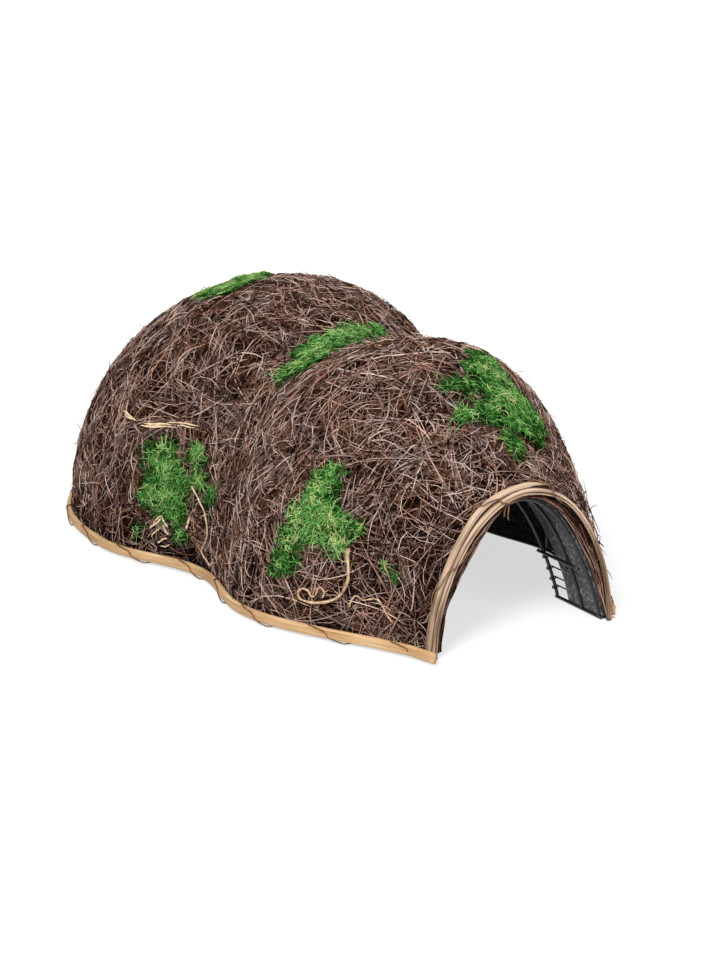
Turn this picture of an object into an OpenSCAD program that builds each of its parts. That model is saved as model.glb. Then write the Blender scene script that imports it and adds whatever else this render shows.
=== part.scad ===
// Hedgehog house: a two-lobed brushwood dome on a wire frame, with an arched entrance tunnel.
// Millimetres, +Z up, entrance facing -Y, origin on the floor under the middle of the house.

/* [House outline] */
// Distance from the entrance plane to the widest part of the front lobe
front_depth = 158; // [130:1:190]
// Distance from the front lobe to the waist
waist_depth = 84; // [70:1:110]
// Distance from the waist to the widest part of the rear lobe
rear_depth = 121; // [95:1:150]
// Distance from the rear lobe to the back of the house
back_depth = 191; // [165:1:230]
// Width of the front lobe over the thatch
front_w = 312; // [290:1:340]
// Height of the front lobe over the thatch
front_h = 204; // [190:1:225]
// Width across the waist over the thatch
waist_w = 284; // [260:1:305]
// Height of the ridge at the waist
waist_h = 180; // [165:1:195]
// Width of the rear lobe over the thatch
rear_w = 358; // [325:1:390]
// Height of the rear lobe over the thatch
rear_h = 218; // [200:1:245]
// Steepness of the front lobe just behind the entrance, higher values fill it out
front_rise = 0.95; // [0.8:0.05:1.5]
// Fullness of the back seen from above, 2 is an ellipse
back_round_w = 2.5; // [2:0.1:2.8]
// Fullness of the back seen from the side, 2 is an ellipse
back_round_h = 2; // [1.8:0.1:2.4]
// Fullness of the cross-section of both lobes, 2 is an ellipse
dome_round = 2.2; // [2:0.05:2.5]

/* [Entrance] */
// Width of the thatch at the entrance
entrance_w = 174; // [160:1:186]
// Height of the thatch at the entrance
entrance_h = 125; // [115:1:140]
// Fullness of the entrance arch, 2 is an ellipse
entrance_round = 1.9; // [1.8:0.05:2.2]
// Depth of bare thatch between the entrance and the felt
edge_band = 12; // [10:1:18]

/* [Walls] */
// Thickness of the thatch
thatch_t = 7; // [5:0.5:9]
// Thickness of the thatch where it thins out at the entrance
edge_t = 3.5; // [3:0.5:4.5]
// Height of the twig bundles that run slantwise over the thatch
bundle_h = 2.4; // [1:0.2:2.8]
// Thickness of the felt
felt_t = 1.2; // [0.8:0.1:2]
// Diameter of the frame wire
wire_d = 2.8; // [2:0.2:3.6]
// Clearance between neighbouring layers
fit_gap = 0.4; // [0.3:0.05:0.6]

/* [Tunnel] */
// Drop from the thatch to the felt at the crown of the tunnel
tunnel_drop = 7; // [4:1:12]
// Fullness of the tunnel arch at its crown, 2 is an ellipse
tunnel_round = 2; // [1.8:0.05:2.2]
// Fullness of the tunnel's legs, 1 leans them in like a parabola and 2 stands them up like an ellipse
tunnel_lean = 1.1; // [1.05:0.05:1.4]
// Depth of the inner hoop behind the entrance
tunnel_l = 57; // [54:1:75]
// Depth of the middle hoop behind the entrance
mid_hoop_y = 24; // [18:1:32]
// Depth of the tunnel felt behind the entrance
tunnel_felt_l = 45; // [38:1:48]
// Height of the side stringers
stringer_z = 45; // [36:1:56]
// Bare length ahead of the side stringers
stringer_front = 6; // [5:1:14]
// Diameter of the ties between the felt and the inner hoop
tie_d = 1.2; // [0.8:0.1:1.4]

/* [Cane] */
// Thickness of the rim strip
rim_t = 4; // [3:0.5:6]
// Height of the rim strip
rim_h = 8; // [6:0.5:12]
// How far the left rim strip runs on past the entrance arch
rim_lead = 10; // [6:1:16]
// Width of the outer arch strip
arch_outer_w = 4; // [3.5:0.5:6]
// Width of the inner arch strip
arch_inner_w = 3.2; // [2.6:0.2:5]
// Width of the thin strip along the mouth
arch_edge_w = 1.6; // [1.2:0.2:2.4]
// Depth of the arch strips along the tunnel
arch_depth = 5; // [4:0.2:9]
// How far the outer arch strip stands over the thatch
arch_proud = 1; // [0:0.1:1.4]
// Angle round the arch where the outer strip ends, from the right foot
arch_outer_end = 72; // [60:1:85]

/* [Lashing] */
// Diameter of the lashing wire
lash_d = 1.1; // [0.8:0.1:1.4]
// Clearance between the lashing and the cane
lash_gap = 0.2; // [0.1:0.05:0.4]
// Turns of lashing on each rim strip
rim_turns = 10; // [6:1:11]
// Turns of lashing on the arch
arch_turns = 4; // [3:1:6]

/* [Moss, roots and chips] */
// Height of a moss cushion at its middle
moss_h = 6; // [4:0.5:9]
// Thickness of the moss at its edge
moss_edge = 1.6; // [1:0.2:2.4]
// Diameter of the thick root
root_d = 4; // [3:0.5:5]
// Diameter of the thin stem and the tendril
stem_d = 2.4; // [1.8:0.2:3]
// Thickness of a wood chip
chip_t = 2.2; // [1.4:0.2:3]

/* [Hidden] */

// Stations along the house, counted in rows of the shell grid
front_y = front_depth;
waist_y = front_y + waist_depth;
rear_y = waist_y + rear_depth;
house_l = rear_y + back_depth;
front_row = 6;
waist_row = 10;
rear_row = 15;
tip_row = 25;
smooth_row = tip_row - 2;
back_hoop_row = rear_row + 4;
ring_row = 2;
half_row = 0.5;

// Steps round the cross-section, with the ridge and the side wires on grid lines
dome_steps = 32;
ridge_step = dome_steps / 2;
side_step = 9;
arch_steps = 20;
tie_angles = [16, 22, 28, 34];
wire_sides = 6;

// Depth of each layer below the outside of the thatch
wire_r = wire_d / 2;
felt_out = thatch_t + fit_gap;
felt_in = felt_out + felt_t;
long_wire_in = felt_in + fit_gap + wire_r;
hoop_in = long_wire_in + wire_d + fit_gap;
foot_z = wire_d + fit_gap;

// Tunnel hoops, measured to the middle of the wire
tunnel_hw = entrance_w / 2 - edge_t - 2 * fit_gap - felt_t - wire_r;
tunnel_h = entrance_h - edge_t - tunnel_drop - 2 * fit_gap - felt_t - wire_r;
tunnel_felt_in = wire_r + fit_gap;
tunnel_felt_out = tunnel_felt_in + felt_t;
tunnel_felt_y = fit_gap;
entrance_hoop_y = wire_r + fit_gap;
tie_out = wire_r + fit_gap + tie_d / 2;
tie_run = wire_d;

// Lashing path round a strip: a squared loop that clears the strip's corners, and lingers on its faces by
// some degrees so that it crosses them slantwise
lash_square = 8;
lash_linger = 25;
lash_swell = pow(2, 1 / lash_square);
lash_steps = 20;
lash_r = lash_d / 2;
function lash_reach(half) = lash_swell * (half + lash_gap + lash_r);

// Rim strip, clear of the thatch by the lashing that passes behind it
rim_gap = lash_reach(rim_t / 2) + lash_r + fit_gap - rim_t / 2;
rim_mid = rim_gap + rim_t / 2;
rim_z = lash_reach(rim_h / 2) + lash_r + fit_gap;
rim_lash_rows = [0.6, tip_row - 1.5];

// Arch strips, clear of the thatch edge by the lashing that passes behind them
arch_gap = lash_reach(arch_depth / 2) + lash_r + fit_gap - arch_depth / 2;
arch_mid_y = -arch_gap - arch_depth / 2;
arch_a = arch_proud;
arch_b = arch_a - arch_outer_w;
arch_c = arch_b - fit_gap - arch_inner_w;
arch_d = arch_c - fit_gap - arch_edge_w;
arch_lash_angles = [162, 18];
arch_taper = 14;

// The left rim strip clears the foot of the arch and runs straight on in front of it
rim_corner = [-entrance_w / 2 - arch_proud - fit_gap, -arch_gap - arch_depth];
rim_way = unit(rim_corner - rim(half_row, rim_gap));
rim_out = [rim_way[1], -rim_way[0]];
rim_tip = rim_corner + rim_lead * rim_way;

// The middle of the house lies half way between the front end of the rim and the rim strip at the back
arch_reach = lash_reach(arch_depth / 2) + lash_r - arch_mid_y;
front_reach = max(arch_reach, -rim_tip[1], -rim_tip[1] - rim_t * rim_out[1]);
back_reach = house_l + rim_gap + rim_t;
entrance_y = (front_reach - back_reach) / 2;

// Moss cushions: distance behind the entrance, angle round the dome, length, width, turn
moss_seat = 0.9;
moss_rings = 4;
moss_steps = 16;
moss_lobes = 0.22;
moss_rear_top_at = [380, 101, 46, 90, -20];
moss_waist_at = [262, 97, 30, 140, 12];
moss_front_top_at = [78, 77, 100, 76, 0];
moss_rear_side_at = [288, 157, 58, 66, 0];
moss_front_side_at = [86, 152, 62, 84, 10];
moss_sprig_at = [30, 155.5, 12, 22, 30];
moss_far_front_at = [170, 24, 60, 66, 0];
moss_far_rear_at = [325, 22, 70, 66, 10];
moss_back_at = [505, 82, 50, 84, 0];

// Routes of the roots: distance behind the entrance, angle round the dome, height above the thatch
root_seat = 0.6;
root_hook_route = [
  [65, 154, 6.4], [62, 157, 5.6], [60, 161, 4.2], [62, 164, 2], [68, 167.5, 0.4], [77, 170, 0],
  [87, 171.5, 0.4], [95, 170.5, 1.2], [93, 168, 2.6], [84, 166.5, 3.2], [77, 167.5, 2.8]
];
root_tendril_route = [
  [57, 168, 0], [53, 164.5, 0], [45, 164.5, 0], [37, 166.5, 0], [30, 165, 0], [24, 166, 0], [19, 169, 0]
];
pale_stem_route = [[265, 156, 4.6], [253, 161, 2], [244, 167, 0], [241, 170.5, 0], [247, 173.5, 0]];
route_steps = 3;

// Wood chips: row and step of the shell grid, length, width, turn
chip_seat = 0.3;
chip_rings = 1;
chip_steps = 6;
chip_lobes = 0.1;
chip_places = [
  [14.1, 26.9, 22, 5, 4], [13, 26.1, 26, 4, -8], [11.9, 25.5, 26, 4, 10], [12.4, 30.4, 16, 8, 30],
  [10.9, 30.1, 14, 4, 60]
];

// Plain vector and curve helpers
function unit(v) = v / norm(v);
function mix(a, b, t) = a + (b - a) * t;
function ease(t) = (1 - cos(180 * t)) / 2;
function climb(t) = t * (front_rise + t * (3 - 2 * front_rise + t * (front_rise - 2)));
function bulge(t, n) = pow(max(0, 1 - pow(max(0, t), n)), 1 / n);
function power(c, q) = sign(c) * pow(abs(c), q);
function flip(p) = [-p[0], p[1], p[2]];

// Half-width or height at a distance behind the entrance, set in by d
function profile(y, d, sizes, n) =
  y < front_y ? sizes[0] - d + (sizes[1] - sizes[0]) * climb(y / front_y)
  : y < waist_y ? sizes[1] - d + (sizes[2] - sizes[1]) * ease((y - front_y) / waist_depth)
  : y < rear_y ? sizes[2] - d + (sizes[3] - sizes[2]) * ease((y - waist_y) / rear_depth)
  : (sizes[3] - d) * bulge((y - rear_y) / (back_depth - d), n);
function half_w(y, d) = profile(y, d, [entrance_w, front_w, waist_w, rear_w] / 2, back_round_w);
function crown_h(y, d) = profile(y, d, [entrance_h, front_h, waist_h, rear_h], back_round_h);

// Point of the dome at a distance and an angle from the right-hand floor, set in by d
function dome(y, a, d) =
  let (q = 2 / mix(entrance_round, dome_round, min(1, y / front_y)))
  [half_w(y, d) * power(cos(a), q), y, crown_h(y, d) * power(sin(a), q)];
function station(k, d) =
  k <= 1 ? edge_band * k
  : k <= front_row ? mix(edge_band, front_y, (k - 1) / (front_row - 1))
  : k <= waist_row ? mix(front_y, waist_y, (k - front_row) / (waist_row - front_row))
  : k <= rear_row ? mix(waist_y, rear_y, (k - waist_row) / (rear_row - waist_row))
  : rear_y + (back_depth - d) * sin(90 * (k - rear_row) / (tip_row - rear_row));
function step_angle(j) = 180 * j / dome_steps;

// Row of the grid at a distance behind the entrance, and a seat on the thatch there, raised by up: on the
// dome where it swells, and on the flat facet that spans the dome where it is hollow
function row_at(y) =
  y < edge_band ? y / edge_band
  : y < front_y ? 1 + (front_row - 1) * (y - edge_band) / (front_y - edge_band)
  : y < waist_y ? front_row + (waist_row - front_row) * (y - front_y) / waist_depth
  : y < rear_y ? waist_row + (rear_row - waist_row) * (y - waist_y) / rear_depth
  : rear_row + (tip_row - rear_row) * asin(min(1, (y - rear_y) / back_depth)) / 90;
function seat(y, a, up) =
  let (
    k = min(floor(row_at(y)), tip_row - 2), j = min(floor(a * dome_steps / 180), dome_steps - 1),
    u = (y - station(k, 0)) / (station(k + 1, 0) - station(k, 0)), v = a * dome_steps / 180 - j,
    p = dome(station(k, 0), step_angle(j), -up), s = dome(station(k + 1, 0), step_angle(j + 1), -up),
    q = dome(station(k + 1, 0), step_angle(j), -up), r = dome(station(k, 0), step_angle(j + 1), -up)
  )
  let (
    flat = u + v < 1 ? p + u * (q - p) + v * (r - p) : s + (1 - u) * (r - s) + (1 - v) * (q - s),
    round = dome(y, a, -up)
  )
  norm([flat[0], flat[2]]) > norm([round[0], round[2]]) ? flat : round;

// Tunnel and entrance arches in the plane across the house, pushed out along their normal
function arch_point(a, size, round) =
  [size[0] * power(cos(a), 2 / round[0]), size[1] * power(sin(a), 2 / round[1])];
function arch_normal(a, size, round) =
  let (t = unit(arch_point(a + 1, size, round) - arch_point(a - 1, size, round)))
  [t[1], -t[0]];
function arch(a, size, round, out) = arch_point(a, size, round) + out * arch_normal(a, size, round);
function tunnel(a, out) = arch(a, [tunnel_hw, tunnel_h], [tunnel_round, tunnel_lean], out);
function mouth(a, out) = arch(a, [entrance_w / 2, entrance_h], [entrance_round, entrance_round], out);
function arch_angle(j) = 180 * j / arch_steps;
function tunnel_angle(z) = asin(pow(z / tunnel_h, tunnel_lean / 2));

// Floor outline of the left side, pushed out along its normal
function floor_point(k) = [-half_w(station(k, 0), 0), station(k, 0)];
function floor_normal(k) =
  let (t = unit(floor_point(min(k + half_row, tip_row)) - floor_point(max(k - half_row, 0))))
  k == tip_row ? [0, 1] : [-t[1], t[0]];
function rim(k, out) = floor_point(k) + out * floor_normal(k);

// Smooth curve through the points of a route
function spline(p, i, t) =
  let (a = p[max(i - 1, 0)], b = p[i], c = p[i + 1], d = p[min(i + 2, len(p) - 1)])
  b + t * (c - a + t * (2 * a - 5 * b + 4 * c - d + t * (3 * b - a - 3 * c + d))) / 2;
function smooth(p) = concat(
  [for (i = [0 : len(p) - 2], s = [0 : route_steps - 1]) spline(p, i, s / route_steps)], [p[len(p) - 1]]
);

// Least gap of a wound wire to itself, between points that are more than a third of a turn apart
function least_gap(p, d, turn) = min(
  [for (i = [0 : len(p) - 2]) for (j = [i + turn / 3 + 1 : len(p) - 1]) norm(p[i] - p[j])]
) - d;

// Depth of the furrows between the twig bundles, on every second grid line of a slant over the dome
function furrow(k, j) =
  k == 0 || k >= smooth_row || j == 0 || j == dome_steps || (k + j) % 2 == 1 ? 0 : bundle_h;

// Closed wall between two depths of the dome, from one row to another or to the tip at the back
module shell(from, to, tip, out, in) {
  m = dome_steps + 1;
  n = to - from + 1;
  seam = tip ? fit_gap / 2 : -fit_gap / 2;
  function row_y(k, d) = station(k, d) + (k == waist_row ? seam : 0);
  function depth(k, d) = k == 0 ? min(d, edge_t) : d;
  function spot(k, j, d) = dome(row_y(k, d), step_angle(j), depth(k, d) + (d == 0 ? furrow(k, j) : 0));
  function layer(d) = [for (k = [from : to], j = [0 : dome_steps]) spot(k, j, d)];
  function o(i, j) = i * m + j;
  function u(i, j) = (n + i) * m + j;
  to_out = 2 * n * m;
  to_in = to_out + 1;
  rows = n - 2;
  cols = dome_steps - 1;
  e = n - 1;
  f = dome_steps;
  skin = [for (i = [0 : rows], j = [0 : cols]) each [
    [o(i, j + 1), o(i + 1, j + 1), o(i + 1, j)], [o(i, j + 1), o(i + 1, j), o(i, j)],
    [u(i + 1, j), u(i + 1, j + 1), u(i, j + 1)], [u(i, j), u(i + 1, j), u(i, j + 1)]
  ]];
  sole = [for (i = [0 : rows]) each [
    [o(i, 0), o(i + 1, 0), u(i + 1, 0)], [o(i, 0), u(i + 1, 0), u(i, 0)],
    [o(i + 1, f), o(i, f), u(i, f)], [o(i + 1, f), u(i, f), u(i + 1, f)]
  ]];
  front_edge = [for (j = [0 : cols]) each [
    [o(0, j + 1), o(0, j), u(0, j)], [o(0, j + 1), u(0, j), u(0, j + 1)]
  ]];
  back_edge = [for (j = [0 : cols]) each [
    [o(e, j), o(e, j + 1), u(e, j + 1)], [o(e, j), u(e, j + 1), u(e, j)]
  ]];
  cap = [for (j = [0 : cols]) each [[o(e, j + 1), to_out, o(e, j)], [u(e, j), to_in, u(e, j + 1)]]];
  cap_sole = [
    [o(e, 0), to_out, to_in], [o(e, 0), to_in, u(e, 0)], [to_out, o(e, f), u(e, f)], [to_out, u(e, f), to_in]
  ];
  tips = [[0, house_l - out, 0], [0, house_l - in, 0]];
  polyhedron(
    concat(layer(out), layer(in), tip ? tips : []),
    concat(skin, sole, front_edge, tip ? concat(cap, cap_sole) : back_edge)
  );
}

// Round wire along points, with one reference direction a point to square its rings to
module tube(p, refs, r) {
  n = len(p);
  s = wire_sides;
  function tangent(i) = unit(p[min(i + 1, n - 1)] - p[max(i - 1, 0)]);
  function ring(i) =
    let (t = tangent(i), across = unit(cross(refs[i], t)), up = cross(t, across))
    [for (j = [0 : s - 1]) p[i] + r * (cos(360 * j / s) * across + sin(360 * j / s) * up)];
  function v(i, j) = i * s + j % s;
  sides = [for (i = [0 : n - 2], j = [0 : s - 1]) each [
    [v(i, j), v(i + 1, j), v(i + 1, j + 1)], [v(i, j), v(i + 1, j + 1), v(i, j + 1)]
  ]];
  ends = [for (j = [1 : s - 2]) each [
    [v(0, 0), v(0, j), v(0, j + 1)], [v(n - 1, 0), v(n - 1, j + 1), v(n - 1, j)]
  ]];
  polyhedron([for (i = [0 : n - 1]) each ring(i)], concat(sides, ends));
}

module wire(p, ref) {
  tube(p, [for (q = p) ref], wire_r);
}

// The house is drawn from the entrance plane and moved so that its middle lies on the origin
module place() {
  translate([0, entrance_y, 0]) children();
}

// Hoop across the house at one row, standing on the base ring
module hoop(k) {
  y = station(k, hoop_in);
  foot = half_w(y, hoop_in);
  legs = [for (j = [1 : dome_steps - 1]) dome(y, step_angle(j), hoop_in)];
  color("#1d1d1f") place() wire(concat([[foot, y, foot_z]], legs, [[-foot, y, foot_z]]), [0, 1, 0]);
}

// Wire along the house on one grid line of the dome
module long_wire(step, to, foot) {
  run = [for (k = [1 : to]) dome(station(k, long_wire_in), step_angle(step), long_wire_in)];
  color("#1d1d1f") place() wire(concat(run, foot), step == ridge_step ? [1, 0, 0] : [0, 0, 1]);
}

// Hoop of the tunnel at a depth behind the entrance, standing on the tunnel's base wires
module tunnel_hoop(y) {
  legs = [for (j = [2 : arch_steps - 2]) let (p = tunnel(arch_angle(j), 0)) [p[0], y, p[1]]];
  foot = tunnel(tunnel_angle(foot_z), 0)[0];
  color("#1d1d1f") place() wire(concat([[foot, y, foot_z]], legs, [[-foot, y, foot_z]]), [0, 1, 0]);
}

module tunnel_base(side) {
  color("#1d1d1f") place() translate([side * tunnel_hw, 0, wire_r]) rotate([-90, 0, 0])
    cylinder(h = tunnel_l + wire_d, r = wire_r, $fn = 48);
}

// Side wire welded to the inside of the middle and inner hoops
module tunnel_stringer(side) {
  p = tunnel(tunnel_angle(stringer_z), -wire_d - fit_gap);
  color("#1d1d1f") place() translate([side * p[0], stringer_front, p[1]]) rotate([-90, 0, 0])
    cylinder(h = tunnel_l + wire_d - stringer_front, r = wire_r, $fn = 48);
}

// Flat strip bent round the entrance arch between two offsets and two angles
module arch_strip(inner, outer, from, to, taper) {
  n = arch_steps;
  function at(j) = mix(from, to, j / n);
  function fade(j) = taper == 0 ? 1 : min(1, (at(n) - at(j)) / -taper);
  outer_edge = [for (j = [0 : n]) mouth(at(j), outer)];
  inner_edge = [for (j = [n : -1 : 0]) mouth(at(j), mix(outer - fit_gap, inner, fade(j)))];
  color("#b98d57") place() translate([0, -arch_gap, 0]) rotate([90, 0, 0])
    linear_extrude(arch_depth) polygon(concat(outer_edge, inner_edge));
}

// Left rim strip: a bent strip from the mouth, or from its lead past the arch, to the back along the floor outline
module rim_strip(led) {
  rows = [for (k = [half_row : half_row : tip_row]) k];
  last = len(rows) - 1;
  function edge(out) = concat(
    [led ? rim_tip + (out - rim_gap) * rim_out : [-entrance_w / 2 - out, 0]],
    [for (i = [0 : last]) i == last ? [-fit_gap / 2, house_l + out] : rim(rows[i], out)]
  );
  inner = edge(rim_gap);
  outer = edge(rim_gap + rim_t);
  color("#c79a5e") place() translate([0, 0, rim_z - rim_h / 2]) linear_extrude(rim_h)
    polygon(concat(outer, [for (i = [len(inner) - 1 : -1 : 0]) inner[i]]));
}

// Loop round a strip of the given half sizes, as a point in the strip's cross-section
function lash_loop(t, a, b) = let (q = 2 / lash_square, u = t - lash_linger * sin(2 * t))
  [lash_reach(a) * power(cos(u), q), lash_reach(b) * power(sin(u), q)];

rim_lash_n = rim_turns * lash_steps;
rim_lash_k = [for (i = [0 : rim_lash_n]) mix(rim_lash_rows[0], rim_lash_rows[1], i / rim_lash_n)];
rim_lash_turn = [for (i = [0 : rim_lash_n]) lash_loop(360 * i / lash_steps, rim_t / 2, rim_h / 2)];
rim_lash = [for (i = [0 : rim_lash_n])
  let (p = rim(rim_lash_k[i], rim_mid + rim_lash_turn[i][0])) [p[0], p[1], rim_z + rim_lash_turn[i][1]]
];
rim_lash_refs = [for (i = [0 : rim_lash_n])
  let (p = rim(rim_lash_k[i], rim_mid)) rim_lash[i] - [p[0], p[1], rim_z]
];

arch_lash_n = arch_turns * lash_steps;
arch_lash_at = [for (i = [0 : arch_lash_n]) mix(arch_lash_angles[0], arch_lash_angles[1], i / arch_lash_n)];
function arch_cover(a) = mix(arch_b - fit_gap, arch_a, min(1, max(0, (a - arch_outer_end) / arch_taper + 1)));
function arch_mid(a) = (arch_cover(a) + arch_d) / 2;
arch_lash_turn = [for (i = [0 : arch_lash_n])
  lash_loop(360 * i / lash_steps, arch_depth / 2, (arch_cover(arch_lash_at[i]) - arch_d) / 2)
];
arch_lash = [for (i = [0 : arch_lash_n])
  let (a = arch_lash_at[i], p = mouth(a, arch_mid(a) + arch_lash_turn[i][1]))
  [p[0], arch_mid_y + arch_lash_turn[i][0], p[1]]
];
arch_lash_refs = [for (i = [0 : arch_lash_n])
  let (a = arch_lash_at[i], p = mouth(a, arch_mid(a))) arch_lash[i] - [p[0], arch_mid_y, p[1]]
];

echo(rim_lashing_least_gap_mm = least_gap(rim_lash, lash_d, lash_steps));
echo(arch_lashing_least_gap_mm = least_gap(arch_lash, lash_d, lash_steps));

// Cushion lying on the thatch: a lobed outline on the dome, high in the middle and thin at its edge
module cushion(at, lift, edge, high, rings, steps, lobes) {
  y = at[0];
  arc = PI / 360 * (half_w(y, 0) + crown_h(y, 0));
  n = rings;
  function reach(t) = 1 + lobes * (sin(3 * t + at[1]) + 0.6 * sin(5 * t + at[0])) / 1.6;
  function spot(r, t, up) =
    let (a = r * reach(t) * at[2] / 2 * cos(t), b = r * reach(t) * at[3] / 2 * sin(t))
    seat(
      y + a * cos(at[4]) - b * sin(at[4]), at[1] + (a * sin(at[4]) + b * cos(at[4])) / arc,
      lift + up
    );
  function rise(r) = mix(high, edge, r * r);
  function side(top) = concat(
    [spot(0, 0, top ? high : 0)],
    [for (i = [1 : n], j = [0 : steps - 1]) spot(i / n, 360 * j / steps, top ? rise(i / n) : 0)]
  );
  half = 1 + n * steps;
  function v(i, j) = 1 + (i - 1) * steps + j % steps;
  function w(i, j) = half + v(i, j);
  middle = [for (j = [0 : steps - 1]) each [[0, v(1, j + 1), v(1, j)], [half, w(1, j), w(1, j + 1)]]];
  field = [for (i = [1 : 1 : n - 1], j = [0 : steps - 1]) each [
    [v(i, j), v(i, j + 1), v(i + 1, j + 1)], [v(i, j), v(i + 1, j + 1), v(i + 1, j)],
    [w(i, j), w(i + 1, j + 1), w(i, j + 1)], [w(i, j), w(i + 1, j), w(i + 1, j + 1)]
  ]];
  wall = [for (j = [0 : steps - 1]) each [
    [v(n, j), v(n, j + 1), w(n, j + 1)], [v(n, j), w(n, j + 1), w(n, j)]
  ]];
  place() polyhedron(concat(side(true), side(false)), concat(middle, field, wall));
}

module moss(at) {
  color("#3f7d2c") cushion(at, moss_seat, moss_edge, moss_h, moss_rings, moss_steps, moss_lobes);
}

// Root lying on the thatch along a route
module root(route, d, tint) {
  curve = smooth(route);
  p = [for (q = curve) seat(q[0], q[1], root_seat + q[2] + d / 2)];
  refs = [for (q = curve) dome(q[0], q[1], -1) - dome(q[0], q[1], 0)];
  color(tint) place() tube(p, refs, d / 2);
}

module base_ring() {
  sides = [for (k = [ring_row : rear_row]) k];
  bend = [for (k = [rear_row + half_row : half_row : tip_row - half_row]) k];
  rows = concat(sides, bend);
  right = [for (k = rows) let (y = station(k, hoop_in)) [half_w(y, hoop_in), y, wire_r]];
  left = [for (i = [len(right) - 1 : -1 : 0]) flip(right[i])];
  color("#1d1d1f") place() wire(concat(right, [[0, house_l - hoop_in, wire_r]], left), [0, 0, 1]);
}

module front_hoop() {
  hoop(front_row);
}

module waist_hoop() {
  hoop(waist_row);
}

module rear_hoop() {
  hoop(rear_row);
}

module back_hoop() {
  hoop(back_hoop_row);
}

module ridge_wire() {
  long_wire(ridge_step, tip_row - 1, [[0, house_l - long_wire_in, foot_z]]);
}

module side_wire_right() {
  long_wire(side_step, back_hoop_row + 1, []);
}

module side_wire_left() {
  mirror([1, 0, 0]) side_wire_right();
}

module entrance_hoop() {
  tunnel_hoop(entrance_hoop_y);
}

module tunnel_mid_hoop() {
  tunnel_hoop(mid_hoop_y);
}

module tunnel_rear_hoop() {
  tunnel_hoop(tunnel_l);
}

module tunnel_base_left() {
  tunnel_base(-1);
}

module tunnel_base_right() {
  tunnel_base(1);
}

module tunnel_stringer_left() {
  tunnel_stringer(-1);
}

module tunnel_stringer_right() {
  tunnel_stringer(1);
}

module tunnel_lining() {
  out = [for (j = [0 : arch_steps]) tunnel(arch_angle(j), tunnel_felt_out)];
  in = [for (j = [arch_steps : -1 : 0]) tunnel(arch_angle(j), tunnel_felt_in)];
  color("#2c2d2f") place() translate([0, tunnel_felt_l, 0]) rotate([90, 0, 0])
    linear_extrude(tunnel_felt_l - tunnel_felt_y) polygon(concat(out, in));
}

module lining_ties() {
  start = tunnel_felt_l + fit_gap;
  color("#111112") place() for (a = tie_angles, side = [-1, 1]) {
    p = tunnel(a, tie_out);
    translate([side * p[0], start, p[1]]) rotate([-90, 0, 0])
      cylinder(h = tunnel_l + tie_run - start, d = tie_d, $fn = 24);
  }
}

module front_lining() {
  color("#2c2d2f") place() shell(1, waist_row, false, felt_out, felt_in);
}

module rear_lining() {
  color("#2c2d2f") place() shell(waist_row, tip_row - 1, true, felt_out, felt_in);
}

module front_thatch() {
  color("#5b4033") place() shell(0, waist_row, false, 0, thatch_t);
}

module rear_thatch() {
  color("#553b2f") place() shell(waist_row, tip_row - 1, true, 0, thatch_t);
}

module rim_cane_left() {
  rim_strip(true);
}

module rim_cane_right() {
  mirror([1, 0, 0]) rim_strip(false);
}

module arch_cane_outer() {
  arch_strip(arch_b, arch_a, 180, arch_outer_end, arch_taper);
}

module arch_cane_inner() {
  arch_strip(arch_c, arch_b - fit_gap, 180, 0, 0);
}

module arch_cane_edge() {
  arch_strip(arch_d, arch_c - fit_gap, 180, 0, 0);
}

module rim_lashing_left() {
  color("#5a3f2b") place() tube(rim_lash, rim_lash_refs, lash_r);
}

module rim_lashing_right() {
  mirror([1, 0, 0]) rim_lashing_left();
}

module arch_lashing() {
  color("#5a3f2b") place() tube(arch_lash, arch_lash_refs, lash_r);
}

module moss_rear_top() {
  moss(moss_rear_top_at);
}

module moss_waist() {
  moss(moss_waist_at);
}

module moss_front_top() {
  moss(moss_front_top_at);
}

module moss_rear_side() {
  moss(moss_rear_side_at);
}

module moss_front_side() {
  moss(moss_front_side_at);
}

module moss_sprig() {
  moss(moss_sprig_at);
}

module moss_far_front() {
  moss(moss_far_front_at);
}

module moss_far_rear() {
  moss(moss_far_rear_at);
}

module moss_back() {
  moss(moss_back_at);
}

module root_hook() {
  root(root_hook_route, root_d, "#c2a07a");
}

module root_tendril() {
  root(root_tendril_route, stem_d, "#a37d58");
}

module pale_stem() {
  root(pale_stem_route, stem_d, "#c9ad86");
}

module wood_chips() {
  color("#cdb08a") for (c = chip_places) {
    at = [station(c[0], 0), step_angle(c[1]), c[2], c[3], c[4]];
    cushion(at, chip_seat, chip_t / 2, chip_t, chip_rings, chip_steps, chip_lobes);
  }
}

base_ring();
front_hoop();
waist_hoop();
rear_hoop();
back_hoop();
ridge_wire();
side_wire_left();
side_wire_right();
entrance_hoop();
tunnel_mid_hoop();
tunnel_rear_hoop();
tunnel_base_left();
tunnel_base_right();
tunnel_stringer_left();
tunnel_stringer_right();
tunnel_lining();
lining_ties();
front_lining();
rear_lining();
front_thatch();
rear_thatch();
rim_cane_left();
rim_cane_right();
arch_cane_outer();
arch_cane_inner();
arch_cane_edge();
rim_lashing_left();
rim_lashing_right();
arch_lashing();
moss_rear_top();
moss_waist();
moss_front_top();
moss_rear_side();
moss_front_side();
moss_sprig();
moss_far_front();
moss_far_rear();
moss_back();
root_hook();
root_tendril();
pale_stem();
wood_chips();
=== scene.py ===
import math

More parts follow.
